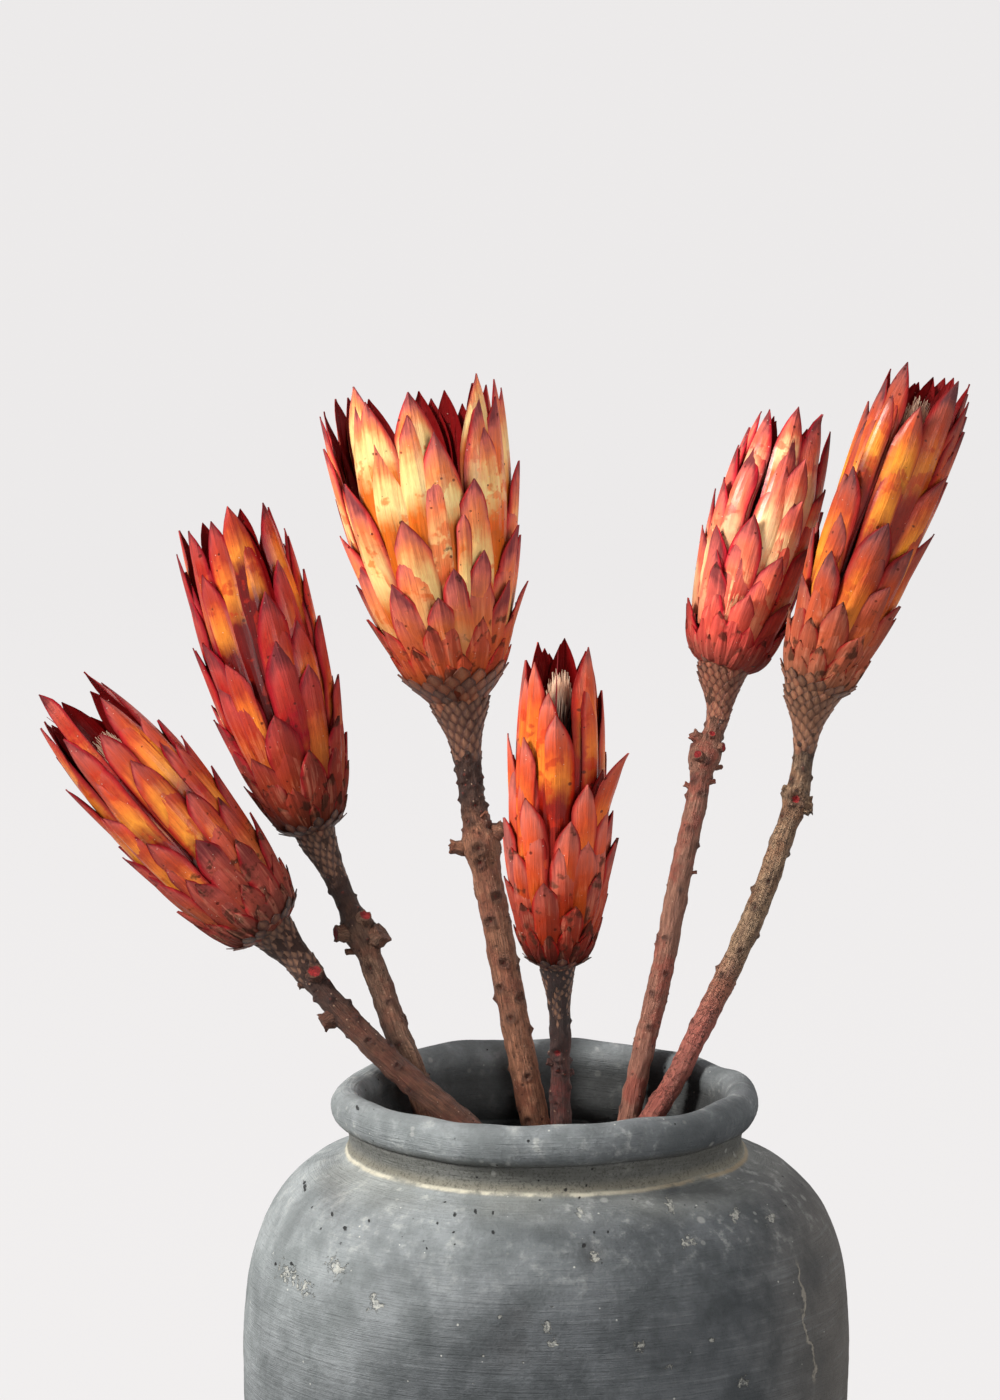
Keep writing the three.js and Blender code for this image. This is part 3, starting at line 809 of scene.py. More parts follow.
# %% Bract finish
def bract_finish(number):
    """The material of one head's bracts. The run is 0 at a tip and grows towards the root."""
    hues = BRACT_COLOURS[number]
    material, tree, shader = new_finish(f"bract_{number}")
    blade = carried(tree, "blade")
    across, below, height = axes(carried(tree, "spot"))
    tone, pale_part, outer = axes(carried(tree, "kind"))
    edge = across.absolute()
    wander = (cloud(blade, 0.13, 3.0, 0.6) - 0.5) * 2.0
    streak = streaked(blade, 0.8, 0.05, 0.3)
    fine = streaked(blade, 3.0, 0.13, 0.3)
    dark = specked(blade, 0.5, 0.24, 0.14)
    pale = specked(blade, 0.9, 0.15, 0.12)
    run = (below + wander * 5.0 + (streak - 0.5) * 3.5) / (pale_part * 4.0) - (tone - 0.4) * 0.22
    run = run - edge * edge * edge * 0.2
    stained = cloud(blade, 0.17, 3.0, 0.55) + (tone - 0.5) * 0.12
    flushed = tone.ramp(0.55, 0.85) * run.ramp(0.1, 0.5) * (stained * 2.0) * hues["red"]
    rim = (edge + wander * 0.14).ramp(hues["bare"], 0.97) * tone.ramp(-0.1, 0.4) * 0.85
    worn = cloud(blade, 0.2, 3.0, 0.6) - height * 0.3 + below.ramp(6.0, 0.0) * 0.13 + (tone - 0.6) * 0.1
    worn = worn.ramp(hues["wear"], hues["wear"] + 0.11)
    dust_and_sheen = streak.ramp(0.5, 0.85) * stained.ramp(0.42, 0.58) * height.ramp(0.5, 0.15)
    colour = layered(
        stops(run, RUN_PLACES, hues["run"]),
        (stained.ramp(0.56, 0.63) * run.ramp(0.2, 0.4) * 0.6, hues["stain"]),
        ((height - wander * 0.08).ramp(0.4, 0.12) * 0.75, hues["low"]),
        ((height - wander * 0.05).ramp(0.13, 0.04) * 0.8, hues["foot"]),
        (flushed.at_least(rim), hues["rim"]),
        # A dark line at every margin: partly the crimson edge, partly painted shadow of the overlap.
        (edge.ramp(0.9, 1.0) * 0.4, EDGE_RED_AND_SHADOW),
        (outer.ramp(0.2, -0.2), INNER_RED),
        (worn * 0.7, WEATHERED),
        # Streaks of dusty rose: partly dust, partly painted sheen.
        (dust_and_sheen * 0.3, DUSTY_ROSE),
        (dark * 0.75, DARK_SPECK),
        # Pale specks: partly wax, partly painted glints.
        (pale * 0.6, WAX_AND_GLINT),
    )
    lightness = (fine - 0.5) * 0.15 + (streak - 0.5) * 0.28 + wander * 0.16 + 1.07
    feed(shader, {
        "Base Color": add_node(tree, "ShaderNodeGamma", (shaded(colour, lightness), DEEPENING)),
        "Roughness": run.ramp(0.4, 0.0) * 0.16 + worn * 0.3 + fine * 0.14 + 0.4,
        "Coat Weight": run.ramp(0.1, 0.45) * height.ramp(0.15, 0.5) * worn.flipped() * 0.38,
        "Coat Roughness": 0.24,
        "Specular IOR Level": 0.09,
        "Normal": relief(fine * 0.35 + streak * 0.6 + wander * 0.8 + pale * 0.5 - dark * 0.5, 0.0003),
    })
    print(material.name, "finish with", len(tree.nodes), "nodes")
    return material


# %% [markdown]
# ## The tree that bends bracts
# One blade is a thin slab. The tree sets it on every plan point and moves each vertex by a rule. Across
# the blade it wraps round the cup, and along the blade it climbs from root to tip. The outline narrows
# to a point, the edges tuck in like a spoon's, and a lean sets upper bracts inside lower ones. The points
# of the slab are an input, so that small bracts use fewer of them.

# %% Bract outline and thickness
WIDEST = 0.42
INNER_LEAN = 0.085
KEEL = 0.15
ROOT_WIDTH = 0.78
NARROWEST_HALF = 0.03

bract_tree, given, result = growth_tree(
    "overlapping bracts", neck="Float", belly="Float", belly_height="Float", mouth="Float",
    bluntness="Float", length="Float", points_across="Int", points_along="Int")
blade = slab(bract_tree, given["points_across"], given["points_along"])
blades = set_on_plan(given, store(blade, "mould", position(bract_tree)))
across, along, side = read_axes(bract_tree, "mould")
tip, reach, half_width = read_axes(bract_tree, "size")
azimuth, flare, sway = read_axes(bract_tree, "set")
tuck, twist, number = read_axes(bract_tree, "bend")
tone, pale_part, taper = read_axes(bract_tree, "tint")

# Rows of points lie closer together near the tip.
along = (clamped(along * -0.5 + 0.5) ** 1.35).flipped()
height = tip - reach * along.flipped()
narrowing = ((taper - tip + height) / taper).at_least(0.0)
outline = (along.ramp(0.0, WIDEST) * (1.0 - ROOT_WIDTH) + ROOT_WIDTH) * (narrowing ** 2.0).flipped()
half = half_width * outline.at_least(NARROWEST_HALF)
edge = across * across
thick = side * 0.5 * ((edge.flipped() * 0.28 + 0.3) * ((along ** 4.0) * -0.5 + 1.0))
print("bracts are widest at", WIDEST, "of their length")

# %% Bract bending
wave = ((along * 8.0 + number).math("SINE") * 0.35 + (along * 19.0 + number * 3.0).math("SINE") * 0.14) * edge
ridge = ((across.absolute() * -2.8 + 1.0).at_least(0.0) ** 2.0) * KEEL
radius = cup_radius(given, height) - (tip - height) * INNER_LEAN + flare * (along ** 3.0)
radius = (radius - tuck * half * edge + twist * half * across + wave + ridge).at_least(1.0) + thick
angle = azimuth + (across * half + sway * (along ** 2.0)) / radius.at_least(5.0)
grown = moved(blades, joined(radius * angle.math("COSINE"), radius * angle.math("SINE"), height))
grown = store(grown, "blade", joined(across * half, along * reach, number * 7.3))
grown = store(grown, "spot", joined(across, tip - height, height / given["length"]))
grown = store(grown, "kind", joined(tone, pale_part, side))
close_tree(grown, given, result)

# %% [markdown]
# ## Where each bract grows
# Bracts grow in a spiral, each turned by the golden angle from the last, so they never line up. The
# lowest is the outermost. Bracts that face the camera are set one by one from the real flower. The spiral
# fills the back and the sides. In front each of its bracts slips behind the nearest listed one, so
# that it closes gaps without showing a tip. Gaps in the real crown are kept open. Round the foot of the
# cup many small bracts follow a tighter spiral whose steps match their own size.

# %% Bract rows
GOLDEN = math.pi * (3 - math.sqrt(5))
SPIRAL_BRACTS = 58
LOWEST_TIP = 12
SHORTEST = 12
LONGEST_SHARE = 0.72
WIDTH_SHARE = 0.6


def bract_row(flower, number, azimuth, tip, width, flare, reach=None):
    """The numbers that one bract carries."""
    climb = clamped((tip - LOWEST_TIP) / (flower["length"] - LOWEST_TIP))
    share = (1 - math.sqrt(1 - climb)) ** (1 / 1.4)
    reach = reach or min(between(SHORTEST, LONGEST_SHARE * flower["length"], share ** 1.1), tip - 1.0)
    crown = max(0.0, (climb - 0.5) / 0.5)
    taper = width * between(1.05, 1.6, crown) * between(0.9, 1.2, draw(number, "taper"))
    pale_part = between(11.5, 6.8, climb) * between(0.75, 1.3, draw(number, "pale part"))
    return dict(
        place=(0.0, 0.0, 0.0),
        size=(tip, reach, width / 2),
        set=(azimuth, flare, 2.0 * (draw(number, "sway") - 0.5)),
        bend=(between(0.26, 0.46, draw(number, "tuck")), 0.26 * (draw(number, "twist") - 0.5), number),
        tint=(draw(number, "tone"), pale_part, min(taper, 0.8 * reach)),
    )


def spiral_row(flower, number):
    """A bract of the spiral: its azimuth, tip, width and flare."""
    share = number / (SPIRAL_BRACTS - 1)
    climb = 1 - (1 - share ** 1.4) ** 2
    tip = between(LOWEST_TIP, flower["length"], climb) - 6 * draw(number, flower["turn"] + 1) * share
    swell = min(1.0, 0.62 + 1.3 * share) * between(1.0, 0.86, share ** 3)
    width = WIDTH_SHARE * flower["belly"] * swell * between(0.85, 1.1, draw(number, "width"))
    azimuth = number * GOLDEN + math.radians(flower["turn"]) + 0.2 * (draw(number, "azimuth") - 0.5)
    return azimuth, tip, width, between(0.3, 0.2, share) + 0.5 * (draw(number, "flare") - 0.5)


print(SPIRAL_BRACTS, "bracts in each spiral")

# %% Large bracts
FRONT_HALF = 88
COVER_HALF = 95
COVER_DROP = 14
HIDDEN_DROP = 6.0
HIDDEN_FLARE = -1.0
FRONT_NUMBERS = 100


def hidden(flower, facing, tip):
    """The place behind the nearest listed bract, as an angle from the front and a lower tip."""
    covers = [bract[:2] for bract in flower["front"] if abs(bract[0]) < COVER_HALF]
    covers = [cover for cover in covers if cover[1] > tip - COVER_DROP]
    angle, cover_tip = min(covers, key=lambda cover: abs(cover[0] - facing) + abs(cover[1] - tip) / 2)
    return angle, min(tip, cover_tip - HIDDEN_DROP)


def bract_plan(flower):
    """The large bracts of one head: the listed ones and the spiral round and behind them."""
    front = math.radians(flower["front_angle"])
    rows = []
    for place, (angle, *shape) in enumerate(flower["front"]):
        number = FRONT_NUMBERS + place + flower["turn"]
        rows.append(bract_row(flower, number, front + math.radians(angle), *shape))
    for number in range(SPIRAL_BRACTS):
        azimuth, tip, width, flare = spiral_row(flower, number)
        facing = math.degrees(math.remainder(azimuth - front, math.tau))
        if any(low < facing < high and tip > limit for low, high, limit in flower["openings"]):
            continue
        if abs(facing) < FRONT_HALF:
            angle, tip = hidden(flower, facing, tip)
            azimuth, flare = front + math.radians(angle), HIDDEN_FLARE
        rows.append(bract_row(flower, number + flower["turn"], azimuth, tip, width, flare))
    return plan_mesh(f"bract_plan_{flower['number']}", rows)


# %% Small bracts round the foot
FOOT_NUMBERS = 300
FOOT_FROM = {1: 0.2, 2: 0.2, 3: 0.3, 4: 0.2, 5: 0.18, 6: 0.22}
FOOT_TO = 0.6
FOOT_BRACT = (5.2, 8.8)
FOOT_BELLY = 20
FOOT_FLARE = -0.4
FOOT_SPACING = 0.62


def foot_plan(flower):
    """The small bracts round the foot of the cup."""
    rows = []
    start, end = FOOT_FROM[flower["number"]] * flower["belly"], FOOT_TO * flower["belly"]
    height = start
    while height < end:
        number = len(rows)
        width = between(*FOOT_BRACT, (height - start) / (end - start)) * flower["belly"] / FOOT_BELLY
        azimuth = number * GOLDEN + 0.3 * (draw(number, "foot azimuth") - 0.5)
        reach = 1.8 * width
        tip = height + 0.5 * reach
        number += FOOT_NUMBERS + flower["turn"]
        rows.append(bract_row(flower, number, azimuth, tip, width, FOOT_FLARE, reach))
        height += FOOT_SPACING * width * width / (math.tau * cup_radius(flower, height))
    return plan_mesh(f"foot_plan_{flower['number']}", rows)


# %% Heads of bracts
LARGE_POINTS = {"points_across": 9, "points_along": 18}
SMALL_POINTS = {"points_across": 5, "points_along": 8}

for flower in FLOWERS:
    number = flower["number"]
    matrix = flower["matrix"]
    sizes = flower | {"Material": bract_finish(number)}
    large = grow(f"large_bracts_{number}", bract_tree, bract_plan(flower), sizes | LARGE_POINTS, matrix)
    small = grow(f"small_bracts_{number}", bract_tree, foot_plan(flower), sizes | SMALL_POINTS, matrix)
    head = one_piece(f"bracts_{number}", [large, small])
    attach(head, "root")
    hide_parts(f"head_{number}")

# %% [markdown]
# ## Small scales under the cup and round the neck
# Under the bracts the cup is shingled with tiny brown scales. They shrink down the neck until they look
# like the net on a pine cone. Each is a slab of four by five cells, set on the surface with a turn and a
# size. Their spacing follows their own size, so rows stay close at any girth. Below the head their
# places follow the stem's own line, which bends away from the head's axis.

# %% Scale finish
SCALE_COLOURS = {
    1: ("#4A2E24", "#8A4836"), 2: ("#4A2E24", "#80402C"), 3: ("#5C3426", "#A05028"),
    4: ("#38201A", "#6E2A18"), 5: ("#8C4E38", "#B04A32"), 6: ("#7C5039", "#A86040"),
}
SCALE_RIM = "#2C150F"
SCALE_MIDDLE = "#DDA27A"


def scale_finish(number):
    """The material of one flower's scales, darker on the neck than on the cup."""
    material, tree, shader = new_finish(f"scale_{number}")
    across, along, tone = axes(carried(tree, "spot"))
    blade = carried(tree, "blade")
    height = axes(blade)[2]
    edge = across.absolute()
    fine = streaked(blade, 2.6, 0.8, 0.9)
    colour = layered(
        blend((height + (tone - 0.5) * 9.0).ramp(-4.0, 9.0), *SCALE_COLOURS[number]),
        (edge.ramp(0.5, 1.0).at_least(along.ramp(0.8, 1.0)) * 0.7, SCALE_RIM),
        (edge.ramp(0.7, 0.0) * along.ramp(0.1, 0.5) * 0.28, SCALE_MIDDLE),
    )
    feed(shader, {
        "Base Color": shaded(colour, (fine - 0.5) * 0.5 + (tone - 0.5) * 0.4 + 1.0),
        "Roughness": 0.55,
        "Normal": relief(fine, 0.0002),
    })
    return material


print("scale colours for", len(SCALE_COLOURS), "flowers")

# %% Scale tree
def turned_and_sized(name, shape):
    """A tree that sets one small shape on every plan point, turned and sized by what the point carries."""
    tree, given, result = growth_tree(name)
    turns = {"Rotation": read_vector(tree, "turn"), "Scale": read_vector(tree, "size")}
    return tree, given, result, set_on_plan(given, shape(tree), **turns)


def scale_shape(tree):
    """A pointed scale: x from -1 to 1, y from its root at 0 to its tip at 1, bulging along z."""
    x, y, z = axes(position(tree))
    up = y * 0.5 + 0.5
    outline = (up.ramp(0.0, 0.45) * 0.35 + 0.65) * (((up - 0.5) * 2.0).at_least(0.0) ** 1.7).flipped()
    bulge = (x * x).flipped() * 0.28 + up * 0.34 + z * 0.12
    mould = store(slab(tree, 5, 6), "mould", joined(x, up, z))
    return moved(mould, joined(x * outline.at_least(0.06), up, bulge))


scale_tree, given, result, scales = turned_and_sized("small scales", scale_shape)
x, y, z = read_axes(scale_tree, "mould")
level, tone, wide = read_axes(scale_tree, "kind")
scales = store(scales, "spot", joined(x, y, tone))
scales = store(scales, "blade", joined(x * wide, y * wide * 2.0 + tone * 40.0, level))
close_tree(scales, given, result)

# %% The skin under the scales
AXIS_BLEND = 5.0


def skin_radius(flower, height):
    """The radius of stem or cup at a height above or below the head's base."""
    if height < 0:
        return stem_radius(flower, -height)
    widening, slope, reach = FUNNEL[flower["number"]]
    funnel = flower["neck"] + widening + slope * height
    return between(cup_radius(flower, height), funnel, bell(height / reach))


def skin_centre(flower, height):
    """The centre of stem or cup at a height above or below the head's base, and the way up."""
    axis = flower["axis"]
    if height < 0:
        centre, along = stem_centre(flower, -height)
        return centre, along.lerp(axis, max(0.0, 1 + height / AXIS_BLEND)).normalized()
    return Vector(flower["base"]) + axis * height, axis


print("skin radii at the base", [round(skin_radius(flower, 0.0), 1) for flower in FLOWERS])

# %% Scale plans
SCALE_SHARE = 0.42
SCALE_GROWTH = 0.22
SCALE_SPACING = 0.82
SCALE_LIFT = {1: 0.42, 2: 0.44, 3: 0.62, 4: 0.4, 5: 0.54, 6: 0.62}
CUP_LIFT = 0.4
NECK_SUNK = 0.22
CUP_SUNK = 0.14
NET_DROP = 20.0
SCALES_TO = {1: 0.12, 2: 0.12, 3: 0.25, 4: 0.12, 5: 0.08, 6: 0.16}
SLOPE_STEP = 0.5
STEEPEST = math.radians(58)


def scale_plan(flower):
    """Points from the net on the neck up to the small bracts."""
    rows = []
    height = -NET_DROP
    while height < SCALES_TO[flower["number"]] * flower["belly"]:
        width = SCALE_SHARE * flower["neck"] + SCALE_GROWTH * max(height, 0.0)
        radius = skin_radius(flower, height)
        rise = skin_radius(flower, height + SLOPE_STEP) - radius
        slope = min(math.atan2(rise, SLOPE_STEP), STEEPEST)
        angle = len(rows) * GOLDEN
        centre, along = skin_centre(flower, height)
        across, out = level_pair(along)
        outward = across * math.cos(angle) + out * math.sin(angle)
        up = along * math.cos(slope) + outward * math.sin(slope)
        normal = outward * math.cos(slope) - along * math.sin(slope)
        on_cup = clamped((height + 2.0) / 4.0)
        lift = SCALE_LIFT[flower["number"]] * between(1.0, CUP_LIFT, on_cup)
        rows.append(dict(
            place=centre + outward * (radius - between(NECK_SUNK, CUP_SUNK, on_cup) * width),
            turn=Matrix((up.cross(normal), up, normal)).transposed().to_euler(),
            size=(0.64 * width, 1.5 * width, lift * width),
            kind=(height, draw(len(rows), "scale tone"), width),
        ))
        height += width * width * SCALE_SPACING / (math.tau * radius) * max(math.cos(slope), 0.35)
    return plan_mesh(f"scale_plan_{flower['number']}", rows)


# %% Scales
for flower in FLOWERS:
    number = flower["number"]
    finish = {"Material": scale_finish(number)}
    skin = grow(f"scales_{number}", scale_tree, scale_plan(flower), finish, MILLIMETRES)
    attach(skin, "root")

# %% [markdown]
# ## The woody cone and the dry florets
# Inside the cup a woody cone carries hundreds of florets, dry and hairy, dark brown below with a small
# pale dome of tips. They show only through the gaps in the crown. The cone is turned from an outline.
# Every floret is one bent hair with three sides, set on the cone by the golden angle. On heads 1 and 4 a
# few bare styles, which are longer and red, stand out at the mouth.

# %% Cone and floret finishes
def cone_finish():
    """The material of the woody cones."""
    material, tree, shader = new_finish("cone_wood")
    grain = streaked(object_place(tree), 900.0, 900.0, 150.0)
    colour = blend(grain, "#2E1410", "#6A2A1C")
    feed(shader, {"Base Color": colour, "Roughness": 0.8, "Normal": relief(grain, 0.0003)})
    return material


def floret_finish():
    """The material of the hairs: pale near the tuft's top, and red for a bare style."""
    material, tree, shader = new_finish("floret_hair")
    tone, drop = axes(carried(tree, "hair"))[:2]
    colour = layered(
        blend(tone, "#220B08", "#4A1E16"),
        ((drop + (tone - 0.5) * 5.0).ramp(13.0, 8.0), "#FFDCC0"),
        (tone.ramp(0.8, 0.9) * 0.5, "#B0583E"),
        (tone.ramp(1.05, 1.15), "#A01820"),
    )
    feed(shader, {"Base Color": colour, "Roughness": 0.75})
    return material


cone_wood = cone_finish()
floret_hair = floret_finish()
print("finishes", cone_wood.name, floret_hair.name)

# %% Floret tree
HAIR_BEND = 2.5
HAIR = {"Vertices": 3, "Side Segments": 3, "Radius Top": 0.25, "Radius Bottom": 1.0, "Depth": 1.0}


def hair_shape(tree):
    """A slender three-sided hair, one unit long, that bends a little."""
    mould = store(add_node(tree, "GeometryNodeMeshCone", HAIR), "mould", position(tree))
    x, y, z = axes(position(tree))
    return moved(mould, joined(x + z * z * HAIR_BEND, y, z))


floret_tree, given, result, hairs = turned_and_sized("florets", hair_shape)
along = read_axes(floret_tree, "mould")[2]
reach = read_axes(floret_tree, "size")[2]
tone, drop = read_axes(floret_tree, "kind")[:2]
hairs = store(hairs, "hair", joined(tone, drop + along.flipped() * reach, 0.0))
close_tree(hairs, given, result)

# %% Floret plans
CONE_TOP_SHARE = 0.5
FLORETS = 900
FLORET_TOP = {1: 0.79, 2: 0.74, 3: 0.74, 4: 0.87, 5: 0.8, 6: 0.87}
HAIR_GIRTH = 0.28
TUFT_SHARE = 0.37
# A style is (angle from the front, how far it leans out). Its tone above 1 makes it red.
STYLES = {1: [(-60, 3.0), (-100, 5.0)], 4: [(-20, 1.5)]}
STYLE_GIRTH = 0.4
STYLE_TONE = 1.2
STYLE_DROP = 60.0


def hair_row(root, hair, girth, tone, drop):
    """The numbers that one hair carries."""
    turn = hair.to_track_quat("Z", "Y").to_euler()
    return dict(place=root, turn=turn, size=(girth, girth, hair.length), kind=(tone, drop, 0.0))


def floret_plan(flower):
    """Hairs that stand on the cone and lean together towards the mouth, and the bare styles."""
    length = flower["length"]
    low, high = CONE_TOP_SHARE * length * 0.6, FLORET_TOP[flower["number"]] * length
    rows = []
    for number in range(FLORETS):
        share = (number + 0.5) / FLORETS
        outward = round_direction(number * GOLDEN)
        girth = TUFT_SHARE * cup_radius(flower, high * 0.8) * math.sqrt(1 - share)
        root = outward * girth + UP * between(low, high - 15, share ** 0.5)
        top = between(low + 14, high, share ** 0.5) + 5 * (draw(number, "hair height") - 0.5)
        spread = girth * between(0.6, 1.3, draw(number, "hair lean")) + 0.8
        hair = outward * spread + UP * (top + 2) - root
        rows.append(hair_row(root, hair, HAIR_GIRTH, draw(number, "hair tone"), high + 2 - top))
    for degrees, outset in STYLES.get(flower["number"], []):
        outward = round_direction(math.radians(flower["front_angle"] + degrees))
        root = outward * 3.0 + UP * (0.7 * length)
        hair = outward * outset + UP * (0.28 * length)
        rows.append(hair_row(root, hair, STYLE_GIRTH, STYLE_TONE, STYLE_DROP))
    return plan_mesh(f"floret_plan_{flower['number']}", rows)


# %% Cones and florets
CONE_SIDES = 32
CONE_INSET = 2.2
CONE_LEVELS = (0.01, 0.06, 0.14, 0.25, 0.38, 0.52, 0.66)

for flower in FLOWERS:
    number = flower["number"]
    top = CONE_TOP_SHARE * flower["length"]
    outline = [(0.0, top * CONE_LEVELS[0])]
    for level in [top * share for share in CONE_LEVELS]:
        outline.append((cup_radius(flower, level) * between(1.0, 0.72, level / top) - CONE_INSET, level))
    outline += [(0.35 * cup_radius(flower, top), top * 0.85), (0.0, top)]
    cone = turned(f"cone_{number}", outline, CONE_SIDES)
    cone.data.transform(flower["matrix"])
    cone.data.materials.append(cone_wood)
    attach(cone, "root")
    finish = {"Material": floret_hair}
    tuft = grow(f"floret_tuft_{number}", floret_tree, floret_plan(flower), finish, flower["matrix"])
    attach(tuft, "root")
    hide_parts(f"florets_{number}")

# %% [markdown]
# ## Woody stems
# The tree sweeps a ring along a stem's line, with the stem's own radius at each step, and then lifts low
# ridges of bark. Each leaf scar is a small crater: its lip is raised and its middle sinks. Small knobs
# rise between the scars, closely packed on the neck. Distance to the nearest mark draws them all. Scars
# that face the camera are where the real ones are, and the rest follow the golden angle. Side shoots
# were cut off, and some cuts are still red inside.

# %% Bark finish
BARK_COLOURS = {
    1: ("#42261C", "#6E4634", "#5E3224", "#38221A"), 2: ("#5E3E2E", "#94705A", "#744634", "#38221A"),
    3: ("#6A422E", "#A87256", "#7E4632", "#3C251D"), 4: ("#2E1614", "#5A342C", "#581C16", "#1E0E0A"),
    5: ("#704434", "#9C6E5A", "#8E4434", "#54301F"), 6: ("#644634", "#A88A6C", "#845A3E", "#3A241A"),
}
LOWER_RED = {1: 0.0, 2: 0.0, 3: 0.0, 4: 0.0, 5: 0.1, 6: 0.7}
NECK_DARK = {1: 40.0, 2: 40.0, 3: 42.0, 4: 30.0, 5: 24.0, 6: 28.0}
CRACKS = {1: 0.5, 2: 0.6, 3: 0.5, 4: 0.8, 5: 0.25, 6: 0.9}
CUT_REDS = ("#6E0E12", "#B8282A")
SCAR_DARK = "#2A120D"


def bark_finish(number):
    """The material of one stem: grey-brown bark, dark near the head, with dark scars and red cuts."""
    deep, pale, warm, neck = BARK_COLOURS[number]
    dark_to = NECK_DARK[number]
    material, tree, shader = new_finish(f"bark_{number}")
    rod = carried(tree, "rod")
    below, lip, pit = axes(carried(tree, "scar"))
    fresh = axes(carried(tree, "cut"))[0]
    fibre = streaked(rod, 1.7, 1.7, 0.16)
    coarse = streaked(rod, 0.5, 0.5, 0.08)
    pale_dots = specked(rod, 0.8, 0.22, 0.2)
    dark_dots = specked(rod, 0.6, 0.28, 0.3)
    patch = cloud(rod, 0.09, 4.0, 0.65)
    split = (cloud(rod, 0.33, 3.0, 0.7) - 0.5).absolute().ramp(0.022, 0.0) * CRACKS[number]
    flesh = blend(patch.ramp(0.4, 0.6), *CUT_REDS)
    colour = layered(
        blend(fibre * 0.65 + coarse * 0.55 - 0.1, deep, pale),
        (patch.ramp(0.47, 0.6) * 0.75, warm),
        ((below + (patch - 0.5) * 30.0).ramp(dark_to, dark_to - 16.0) * 0.9, neck),
        (below.ramp(78.0, 112.0) * LOWER_RED[number], "#A24A44"),
        (split * 0.7, "#2E1A12"),
        (clamped(lip * 0.55 + pit * 1.1) * 0.85, SCAR_DARK),
        ((pit - 0.6).ramp(0.0, 0.3) * 0.5, "#8E3A2C"),
        (pale_dots * 0.5, "#D0AA8E"),
        (dark_dots * 0.7, "#331A12"),
        ((fresh + (fibre - 0.5) * 0.25).ramp(0.35, 0.7), flesh),
    )
    feed(shader, {
        "Base Color": shaded(colour, (fibre - 0.5) * 0.5 + 1.0),
        "Roughness": 0.7,
        "Specular IOR Level": 0.4,
        "Normal": relief(fibre + coarse * 0.7 - split * 0.9 - dark_dots * 0.6, 0.0005),
    })
    return material


print("bark colours for", len(BARK_COLOURS), "stems")

# %% Sweeping a ring along the line
RING_POINTS = 40

stem_tree, given, result = growth_tree("woody stem")
on_line = read(stem_tree, "role").math("LESS_THAN", 0.5)
split = add_node(stem_tree, "GeometryNodeSeparateGeometry", {"Geometry": given["Plan"], "Selection": on_line})
spine, marks = all_outputs(split)
line = add_node(stem_tree, "GeometryNodeMeshToCurve", (spine,))
ring = add_node(stem_tree, "GeometryNodeCurvePrimitiveCircle", {"Resolution": RING_POINTS, "Radius": 1.0})
profile = store(ring, "round", position(stem_tree))
girth = read(stem_tree, "girth")
inputs = {"Curve": line, "Profile Curve": profile, "Scale": girth, "Fill Caps": True}
body = add_node(stem_tree, "GeometryNodeCurveToMesh", inputs)

seen = {"Geometry": marks}
distance = add_node(stem_tree, "GeometryNodeProximity", seen, output="Distance", target_element="POINTS")
index = add_node(stem_tree, "GeometryNodeSampleNearest", seen)


def of_nearest_mark(name):
    """What the nearest mark carries."""
    inputs = seen | {"Value": read(stem_tree, name), "Index": index}
    return add_node(stem_tree, "GeometryNodeSampleIndex", inputs)


print("rings of", RING_POINTS, "points")

# %% Bark and leaf scars
LIP_WIDTH = 0.42
PIT_WIDTH = 0.62
SCAR_LIP = 0.36
SCAR_PIT = 0.5
KNOB_RISE = 0.75
RIDGES = 0.6
SWELLS = 1.5

mark_width = of_nearest_mark("girth")
knob = of_nearest_mark("knob")
away = distance / mark_width
lip = bell((away - 1.0) / LIP_WIDTH)
pit = bell(away / PIT_WIDTH)
turn_x, turn_y = read_axes(stem_tree, "round")[:2]
below = read(stem_tree, "below")
skin_x, skin_y = turn_x * girth, turn_y * girth
ridge = (cloud(joined(skin_x * 0.9, skin_y * 0.9, below * 0.14), 1.0, 3.0, 0.6) - 0.5) * RIDGES
swell = (cloud(joined(skin_x * 0.3, skin_y * 0.3, below * 0.2), 1.0) - 0.5) * SWELLS
hollow = (lip * SCAR_LIP - pit * SCAR_PIT) * knob.flipped() + pit * knob * KNOB_RISE
rise = (ridge + swell + hollow * mark_width) * below.ramp(0.0, 6.0)
normal = axes(add_node(stem_tree, "GeometryNodeInputNormal"))
lifted = [place + direction * rise for place, direction in zip(axes(position(stem_tree)), normal)]
body = store(body, "scar", joined(below, lip, pit))
body = store(body, "rod", joined(skin_x, skin_y, below))
body = store(body, "cut", joined(pit * of_nearest_mark("red"), 0.0, 0.0))
close_tree(moved(body, joined(*lifted)), given, result)

